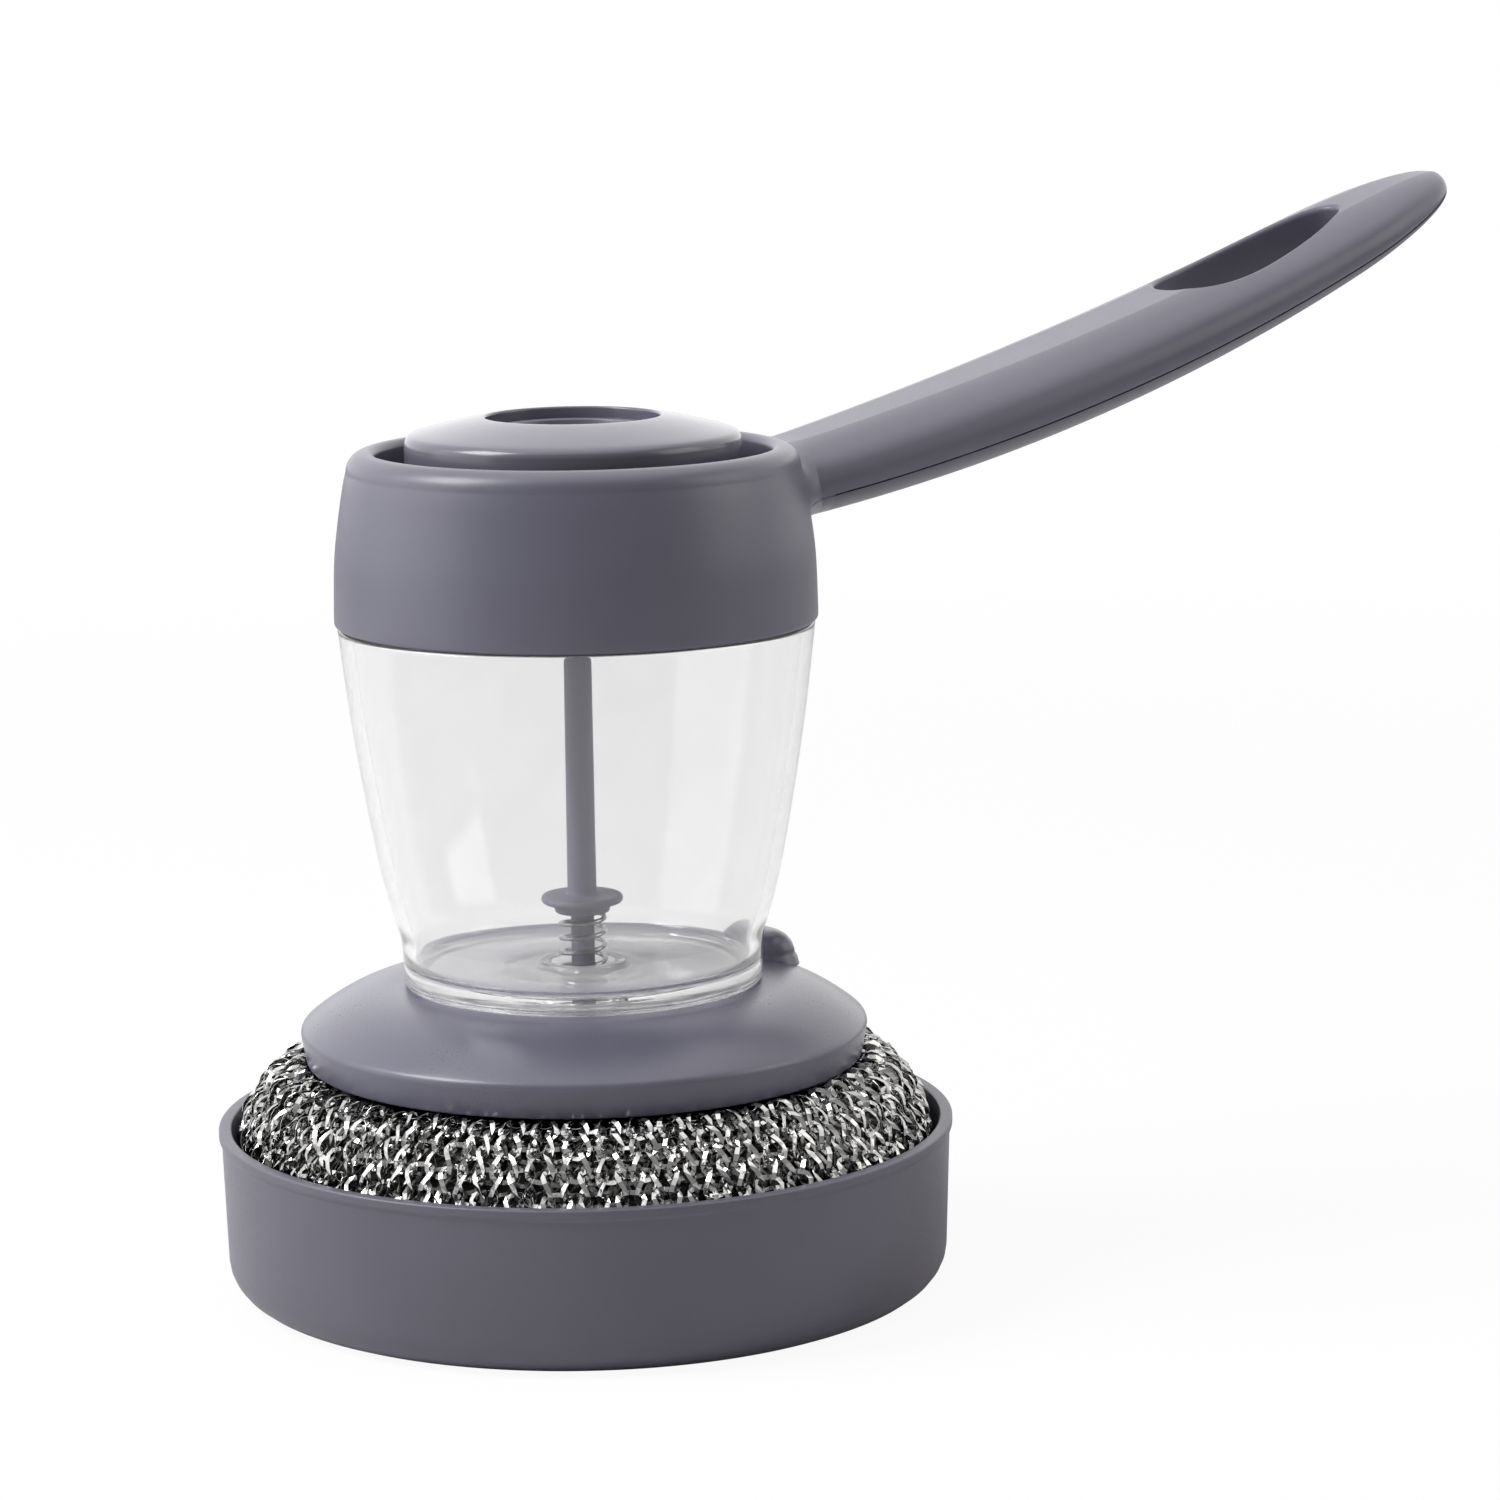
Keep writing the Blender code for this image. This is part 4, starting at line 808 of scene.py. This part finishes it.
def makeTank():
    wall, joint, neck, base = tank["wall"], tank["joint"], tank["neck"], tank["neckBase"]
    foot, footInside, under = tank["footRadius"], tank["footRadius"] - tank["footWidth"], tank["under"]
    spigot, spigotIn = tank["spigot"], tank["spigot"] - tank["spigotWall"]
    well, wellOuter, lipR, floor = tank["well"], tank["well"] + tank["wellWall"], tank["well"] + 1.5, tank["floor"]
    outer = tankSide(0)
    inner = [point for point in reversed(tankSide(wall)) if point[1] > floor + tank["corner"] + 0.4]
    corners = [
        (neck - tank["neckWall"], tank["neckTop"], 0.5), (neck, tank["neckTop"], 0.5),
        (neck, base, 0.4), (joint, base, 0.6), (joint, tank["shoulder"] + 0.05, 0.3),
        (outer[0][0], outer[0][1] + 0.05, 0.5), *outer[1:-1], (foot, tank["foot"], 0.45),
        (footInside, tank["foot"], 0.3), (footInside, under, 0.3),
        (spigot, under, 0.4), (spigot, tank["spigotLow"], 0.4),
        (spigotIn, tank["spigotLow"], 0.4), (spigotIn, under, 0.4),
        (wellOuter, under, 0.4), (wellOuter, tank["seat"], 0.5), (tank["bore"], tank["seat"], 0.2),
        (tank["bore"], tank["wellFloor"], 0.2), (well, tank["wellFloor"], 0.5),
        (well, floor + tank["lip"], 0.35), (lipR, floor + tank["lip"], 0.35),
        (lipR + 0.7, floor, 0.6), (inner[0][0] - 0.15, floor, tank["corner"]), *inner,
        (joint - wall, tank["shoulder"] + wall, 1.0), (joint - wall, base - wall, 0.8),
        (neck - tank["neckWall"], base - wall, 0.8),
    ]
    return turned("clearTank", roundedLine(corners, closed=True), 220)


place(makeTank(), "clearTank", "brush", ["tank"], "clear_tank")

# ---- push rod, spring, valve and seals

rod = {"top": 119.5, "topRadius": 1.9, "radius": 2.1, "flangeTop": 57.0, "flange": 5.9, "flangeLow": 55.75,
       "step": 4.0, "stepLow": 54.4, "lowRadius": 1.7, "stubTop": 40.2, "stub": 1.2, "stubLow": 37.3}


def makeRod():
    radius, flange, flangeTop, flangeLow = rod["radius"], rod["flange"], rod["flangeTop"], rod["flangeLow"]
    corners = [
        (0, rod["top"], 0), (rod["topRadius"], rod["top"], 0.35), (radius, flangeTop + 1.2, 2.0),
        (radius + 0.2, flangeTop, 0.5), (flange, flangeTop, 0.6), (flange, flangeLow, 0.6),
        (rod["step"], flangeLow, 0.15), (rod["step"], rod["stepLow"], 0.4), (rod["lowRadius"], rod["stepLow"], 0.3),
        (rod["lowRadius"], rod["stubTop"], 0.15), (rod["stub"], rod["stubTop"], 0),
        (rod["stub"], rod["stubLow"], 0.2), (0, rod["stubLow"], 0),
    ]
    return turned("pushRod", roundedLine(corners, arcSteps=7), 64, closed=False)


place(makeRod(), "slateRod", "rod", ["push_rod"], "push_rod")

coil = {"low": 42.4, "high": 53.8, "radius": 3.2, "wire": 0.34, "turns": 6.2, "flatTurns": 0.75, "start": 0.7,
        "perTurn": 40, "sides": 10, "anchor": (0, 0, 0.0421), "keep": 0.665}


def makeSpring():
    turns = np.arange(int(coil["perTurn"] * coil["turns"]) + 1) / coil["perTurn"]
    closedLow = np.clip(turns / coil["flatTurns"], 0, 1)
    closedHigh = np.clip((coil["turns"] - turns) / coil["flatTurns"], 0, 1)
    climb = np.cumsum(np.minimum(closedLow, closedHigh) ** 1.2 + 0.12)
    climb = (climb - climb[0]) / (climb[-1] - climb[0])
    upright = Vector((0, 0, 1))
    rings = []
    for turn, share in zip(turns, climb):
        angle = fullTurn * turn + coil["start"]
        out = Vector((math.cos(angle), math.sin(angle), 0))
        centre = out * coil["radius"] + upright * (coil["low"] + (coil["high"] - coil["low"]) * share)
        ring = []
        for side in range(coil["sides"]):
            about = fullTurn * side / coil["sides"]
            ring.append((centre + (out * math.cos(about) + upright * math.sin(about)) * coil["wire"]) * mm)
        rings.append(ring)
    return loft("returnSpring", rings)


spring = place(makeSpring(), "springSteel", "brush", ["spring"], "spring")
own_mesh(spring)

seals = {
    # piece: look, body, node, slot, corners. The node gives the height
    "valveSeal": ("greySilicone", "rod", "valve_seal", "silicone",
                  [(1.2, 39.9, 0), (4.4, 39.9, 0.25), (4.4, 38.6, 0.45), (1.2, 38.6, 0)]),
    "valveFoot": ("slateInner", "rod", "valve_foot", "valve_foot",
                  [(0, 38.3, 0), (3.6, 38.3, 0.2), (3.6, 36.7, 0.6), (0, 36.7, 0)]),
    "socketSeal": ("greySilicone", "head", "socket_seal", "silicone",
                   [(9.3, 37.3, 0.2), (12.2, 37.3, 0.2), (12.2, 36.4, 0.2), (9.3, 36.4, 0.2)]),
    "tankGasket": ("greySilicone", "brush", "tank_gasket", "silicone",
                   [(22.2, 105.2, 0.2), (30.5, 105.2, 0.2), (30.5, 104.5, 0.2), (22.2, 104.5, 0.2)]),
    "capGasket": ("greySilicone", "cap_seal", "cap_gasket", "silicone",
                  [(19.2, 120.7, 0.4), (21.6, 120.7, 0.4), (21.6, 118.3, 0.4), (19.2, 118.3, 0.4)]),
    "rodSeal": ("greySilicone", "cap", "rod_seal", "silicone",
                [(2.15, 113.5, 0.3), (4.2, 113.5, 0.3), (4.2, 112.3, 0.3), (2.15, 112.3, 0.3)]),
}


def atNode(name, corners):
    # the corners, moved up or down to the middle of the node
    low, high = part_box(name)
    heights = [z for r, z, rounding in corners]
    shift = (low.z + high.z) / 2 / mm - (min(heights) + max(heights)) / 2
    return [(r, z + shift, rounding) for r, z, rounding in corners]


for name, (look, body, replaced, slot, corners) in seals.items():
    isRing = corners[0][0] > 0
    outline = roundedLine(atNode(replaced, corners), closed=isRing, arcSteps=5)
    place(turned(name, outline, 72, closed=isRing), look, body, [replaced], slot)

# ---- collar, arm and the cover under the arm

collar = {
    "rim": 121.6, "rimRadius": 32.18, "rimRoundings": (1.2, 2.9), "bore": 28.3,
    "base": 96.9, "baseRadius": 34.6, "jointBore": 31.1,
    "flangeLow": 105.5, "flangeTop": 107.3, "flangeBore": 22.3,
    "side": [(32.42, 118.7), (32.94, 116.4), (33.74, 111.4), (34.36, 105.9), (34.6, 98.4)],
}
arm = {
    "start": 30.5, "height": 113.65, "length": 135.0, "rootAngle": 9.8, "tipAngle": 25.0,
    "halfWidths": (10.9, 13.5, 10.5), "halfDepths": (5.5, 6.5, 3.9),   # at the root, the middle and the tip
    "fullness": 2.15, "facets": (0.967, 0.945, 0.955), "side": 24,
    "roundShare": 0.80, "tipFullness": 2.1, "tipDepthShare": 0.05, "tipWidthShare": 0.03,
    "tipDroop": 0.9, "tipEdge": 0.55,
    "seam": 0.335, "coverStart": 0.050, "gap": 0.12, "seamEdge": 0.20,
    "wall": 2.3,                                   # from the arm's start out to the collar's face
    "sideFillet": 5.0, "lowFillet": 3.0, "bossEnd": 3.0, "bossEdge": 0.3,
    "rises": ((0.7, 3.2, 2.0), (0.9, 1.3, 1.4)),   # towards the rim: lift, reach, how far inside the face
    "slot": {"middle": 0.714, "halfLength": 17.5, "halfWidth": 7.7, "fullness": 2.3, "skew": 0.30, "edge": 0.9,
             "reach": 3.0, "points": 88},
}


def threeWay(values, share):
    first, middle, last = values
    return first + (4 * middle - 3 * first - last) * share + (2 * first + 2 * last - 4 * middle) * share ** 2


def armStation(share):
    start, end = math.radians(arm["rootAngle"]), math.radians(arm["tipAngle"])
    angle = start + (end - start) * share
    bend = arm["length"] / (end - start)
    past = max(share - arm["roundShare"], 0) / (1 - arm["roundShare"])
    endRound = max(1 - min(past, 1) ** arm["tipFullness"], 0) ** (1 / arm["tipFullness"])
    endDepth = arm["tipDepthShare"] + (1 - arm["tipDepthShare"]) * endRound ** arm["tipEdge"]
    return {
        "x": arm["start"] + bend * (math.sin(angle) - math.sin(start)),
        "z": arm["height"] + bend * (math.cos(start) - math.cos(angle)) - arm["tipDroop"] * past ** 3,
        "angle": angle,
        "facet": threeWay(arm["facets"], share),
        "width": threeWay(arm["halfWidths"], share) * max(endRound, arm["tipWidthShare"]),
        "depth": threeWay(arm["halfDepths"], share) * endDepth,
    }


def armPoint(share, y, up):
    station = armStation(share)
    angle = station["angle"]
    return Vector((station["x"] - math.sin(angle) * up, y, station["z"] + math.cos(angle) * up))


def ovalAt(station, up):
    return station["width"] * max(1 - (abs(up) / station["depth"]) ** arm["fullness"], 0) ** (1 / arm["fullness"])


def ovalPoint(station, angle):
    y, up = oval(angle, 2 / arm["fullness"])
    return y * station["width"], up * station["depth"]


def upperLine(station):
    # the arm's upper shell: rounded seam edge, oval side, flat facet on top, and the same back down
    edge = min(arm["seamEdge"], station["depth"] * 0.15)
    low = -arm["seam"] * station["depth"] + arm["gap"] / 2
    first = math.copysign((abs(low + edge) / station["depth"]) ** (arm["fullness"] / 2), low + edge)
    first = math.asin(max(min(first, 0.9), -0.9))
    last = math.asin(station["facet"] ** (arm["fullness"] / 2))
    half = ovalAt(station, low)
    line = [(half - edge, low), (half - edge * 0.3, low + edge * 0.3)]
    for step in range(arm["side"] + 1):
        line.append(ovalPoint(station, first + (last - first) * step / arm["side"]))
    line.insert(-1, ovalPoint(station, last - (last - first) * 0.012))
    crest = line[-1]
    line += [(crest[0] * share, crest[1]) for share in (0.94, 0.6, 0.2)]
    return line + [(-y, up) for y, up in reversed(line)]


def lowerLine(station):
    # the cover below the seam, from one edge round to the other
    edge = min(arm["seamEdge"], station["depth"] * 0.15)
    top = -arm["seam"] * station["depth"] - arm["gap"] / 2
    first = math.asin(min(((edge - top) / station["depth"]) ** (arm["fullness"] / 2), 0.98))
    half = ovalAt(station, top)
    line = [(half - edge, top), (half - edge * 0.3, top - edge * 0.3)]
    for step in range(13):
        line.append(ovalPoint(station, -first - (math.pi / 2 - first) * step / 13))
    return line + [(0, -station["depth"])] + [(-y, up) for y, up in reversed(line)]


def filletGrowth(distance, radius):
    # a fillet against the collar that stops short in a small crisp step
    past = min(max((distance - arm["bossEnd"]) / arm["bossEdge"], 0), 1)
    inward = max(radius - min(max(distance, 0), arm["bossEnd"]), 0)
    return (radius - math.sqrt(radius ** 2 - inward ** 2)) * (1 - past)


def rootGrowth(line, distance):
    # the section spreads towards the collar: widely at the sides, less below, and up to the rim on top
    grown = []
    rise = sum(lift * math.exp(-(((distance + inside) / reach) ** 2) / 2) for lift, reach, inside in arm["rises"])
    for index, (y, up) in enumerate(line):
        before, after = line[index - 1], line[(index + 1) % len(line)]
        normal = Vector((after[1] - before[1], before[0] - after[0]))
        if normal.dot(Vector((y, up))) < 0:
            normal.negate()
        normal.normalize()
        upGrowth = rise if normal.y > 0 else filletGrowth(distance, arm["lowFillet"])
        grown.append((y + normal.x * filletGrowth(distance, arm["sideFillet"]), up + normal.y * upGrowth))
    return grown


def wallShare(y, up):
    # share of the arm's length at which the arm's surface meets the collar's face
    low, high = -0.03, 0.06
    radii, heights = zip(*reversed(collar["side"]))
    for step in range(24):
        share = (low + high) / 2
        spot = armPoint(share, y, up)
        if math.hypot(spot.x, spot.y) < float(np.interp(spot.z, heights, radii)):
            low = share
        else:
            high = share
    return share


def armRows(line, last, straight=46, rounded=46):
    rows = []
    end, edge = arm["bossEnd"], arm["bossEdge"]
    distances = [-1.5, *(end * (1 - math.cos(math.radians(11.25 * step))) for step in range(8))]
    distances += [end - 0.1, end, end + edge * 0.5, end + edge, end + edge + 0.3]
    for distance in distances:
        ring = []
        station = armStation((arm["wall"] + distance) / arm["length"])
        for y, up in rootGrowth(line(station), distance):
            ring.append(armPoint(wallShare(y, up) + distance / arm["length"], y, up) * mm)
        rows.append(ring)
    rows += plainRows(line, (arm["wall"] + end + edge + 1.2) / arm["length"], last, straight, rounded)
    return rows


def plainRows(line, first, last, straight, rounded):
    middle = min(arm["roundShare"], last)
    shares = [first + (middle - first) * step / straight for step in range(straight)]
    if rounded:
        shares += [middle + (last - middle) * math.sin(math.pi / 2 * step / rounded) for step in range(rounded + 1)]
    else:
        shares.append(last)
    rows = []
    for share in shares:
        section = rootGrowth(line(armStation(share)), share * arm["length"] - arm["wall"])
        rows.append([armPoint(share, y, up) * mm for y, up in section])
    return rows


def slotCutter():
    # follows the arm's faces, so that its flared ends leave an evenly rounded edge
    slot = arm["slot"]
    edge = slot["edge"]
    levels = []
    for step in range(7):
        angle = math.radians(78 * (1 - step / 6))
        levels.append((edge * (1 - math.cos(angle)), edge * (1 - math.sin(angle)), 1))
    levels = [(levels[0][0] + 0.25, -slot["reach"], 1)] + levels
    levels += [(grow, drop, -1) for grow, drop, side in reversed(levels)]
    rings = []
    for grow, drop, side in levels:
        ring = []
        for step in range(slot["points"]):
            along, across = oval(fullTurn * step / slot["points"], 2 / slot["fullness"])
            share = slot["middle"] + along * (slot["halfLength"] + grow) / arm["length"]
            y = across * (1 - slot["skew"] * along) * (slot["halfWidth"] + grow)
            station = armStation(share)
            inside = max(1 - (abs(y) / station["width"]) ** arm["fullness"], 0.02)
            up = station["depth"] * inside ** (1 / arm["fullness"])
            if side > 0:
                up = min(up, station["facet"] * station["depth"])
            ring.append(armPoint(share, y, side * (up - drop)) * mm)
        rings.append(ring)
    return loft("slotCutter", rings)


def makeCollar():
    rim, base, bore, joint = collar["rim"], collar["base"], collar["bore"], collar["jointBore"]
    flange, flangeLow, flangeTop = collar["flangeBore"], collar["flangeLow"], collar["flangeTop"]
    inward, outward = collar["rimRoundings"]
    corners = [(bore, rim, inward), (collar["rimRadius"], rim, outward)]
    corners += [(r, z, 0) for r, z in smoothLine(collar["side"], 8)]
    corners += [(collar["baseRadius"], base, 0.4), (joint, base, 0.3), (joint, flangeLow, 0.3),
                (flange, flangeLow, 0.3), (flange, flangeTop, 0.3), (bore, flangeTop, 0.6)]
    made = turned("handleCollar", roundedLine(corners, closed=True, arcSteps=9), 200)
    upper = combine(loft("armUpper", armRows(upperLine, 1)), [slotCutter()], "DIFFERENCE")
    root = loft("armRoot", armRows(rootLine, arm["coverStart"] - arm["gap"] / arm["length"], 3, 0))
    return combine(made, [upper, root], "UNION")


def rootLine(station):
    # the solid below the seam between the collar and the cover, reaching up into the upper shell
    lower = lowerLine(station)[2:-2]
    return [(lower[0][0] - 0.4, lower[0][1] + 1.6), *lower, (lower[-1][0] + 0.4, lower[-1][1] + 1.6)]


def makeCover():
    made = loft("handleUnderCover", plainRows(lowerLine, arm["coverStart"], 1, 46, 46))
    return combine(made, [slotCutter()], "DIFFERENCE")


place(makeCollar(), "slate", "brush", ["handle_collar"], "handle_collar")
place(makeCover(), "slateCover", "brush", ["handle_under_cover"], "handle_under_cover")

# ---- filler cap, its insert and the press button

cap = {
    "crown": 126.2, "shoulder": 22.9, "shoulderTop": 123.9, "fall": 1.25, "edgeRadius": 24.05, "edgeTop": 123.55,
    "edgeRounding": 1.5, "base": 108.2,
    "inner": 23.2, "recess": 12.45, "tube": 13.6, "tubeLow": 117.9, "roofLow": 122.4,
}
insert = {"top": 122.1, "outer": 22.9, "inner": 21.9, "roofLow": 120.9, "well": 13.85, "wellOuter": 14.85,
          "floorTop": 115.2, "floorLow": 113.8, "hole": 2.2, "guide": 4.5, "guideOuter": 5.6, "guideLow": 112.1}
button = {"radius": 11.9, "top": 124.6, "dish": 9.8, "dishDepth": 1.9, "plate": 1.6, "skirt": 1.4, "base": 119.8,
          "pin": 2.6}


def makeCap():
    recess, crown, edge, inner, tube = cap["recess"], cap["crown"], cap["edgeRadius"], cap["inner"], cap["tube"]
    corners = [(recess, crown, 0.35)]
    for step in range(1, 12):
        share = step / 12
        r = recess + (cap["shoulder"] - recess) * share
        corners.append((r, crown - (crown - cap["shoulderTop"]) * share ** cap["fall"], 0))
    corners += [(edge, cap["edgeTop"], cap["edgeRounding"]), (edge, cap["base"], 0.3), (inner, cap["base"], 0.2),
                (inner, cap["roofLow"], 0.3), (tube, cap["roofLow"], 0.3), (tube, cap["tubeLow"], 0.2),
                (recess, cap["tubeLow"], 0.2)]
    return turned("fillerCap", roundedLine(corners, closed=True), 200)


def makeInsert():
    top, roof, floor, under = insert["top"], insert["roofLow"], insert["floorTop"], insert["floorLow"]
    base, outer, inner = cap["base"], insert["outer"], insert["inner"]
    well, wellOuter, hole = insert["well"], insert["wellOuter"], insert["hole"]
    guide, guideOuter, guideLow = insert["guide"], insert["guideOuter"], insert["guideLow"]
    corners = [
        (well, top, 0.2), (outer, top, 0.5), (outer, base, 0.2), (inner, base, 0.2), (inner, roof, 0.4),
        (wellOuter, roof, 0.3), (wellOuter, under, 0.5), (guideOuter, under, 0.2), (guideOuter, guideLow, 0.2),
        (guide, guideLow, 0.2), (guide, under, 0.2), (hole, under, 0.2), (hole, floor, 0.2), (well, floor, 0.4),
    ]
    return turned("capInsert", roundedLine(corners, closed=True, arcSteps=5), 120)


def makeButton():
    radius, top, base, dish, pin = button["radius"], button["top"], button["base"], button["dish"], button["pin"]
    dishLow = top - button["dishDepth"]
    under, inner = dishLow - button["plate"], radius - button["skirt"]
    corners = [(0, dishLow, 0), (dish - 0.2, dishLow, 0.7), (dish + 0.25, top, 0.3), (radius, top, 0.5),
               (radius, base, 0.2), (inner, base, 0.2), (inner, under, 0.5), (pin, under, 0.5), (pin, base, 0.2),
               (0, base, 0)]
    return turned("pressButton", roundedLine(corners), 120, closed=False)


place(makeCap(), "slateCap", "cap", ["filler_cap"], "filler_cap")
place(makeInsert(), "slateInner", "cap", ["cap_insert"], "cap_insert")
place(makeButton(), "slate", "button", ["press_button"], "press_button")
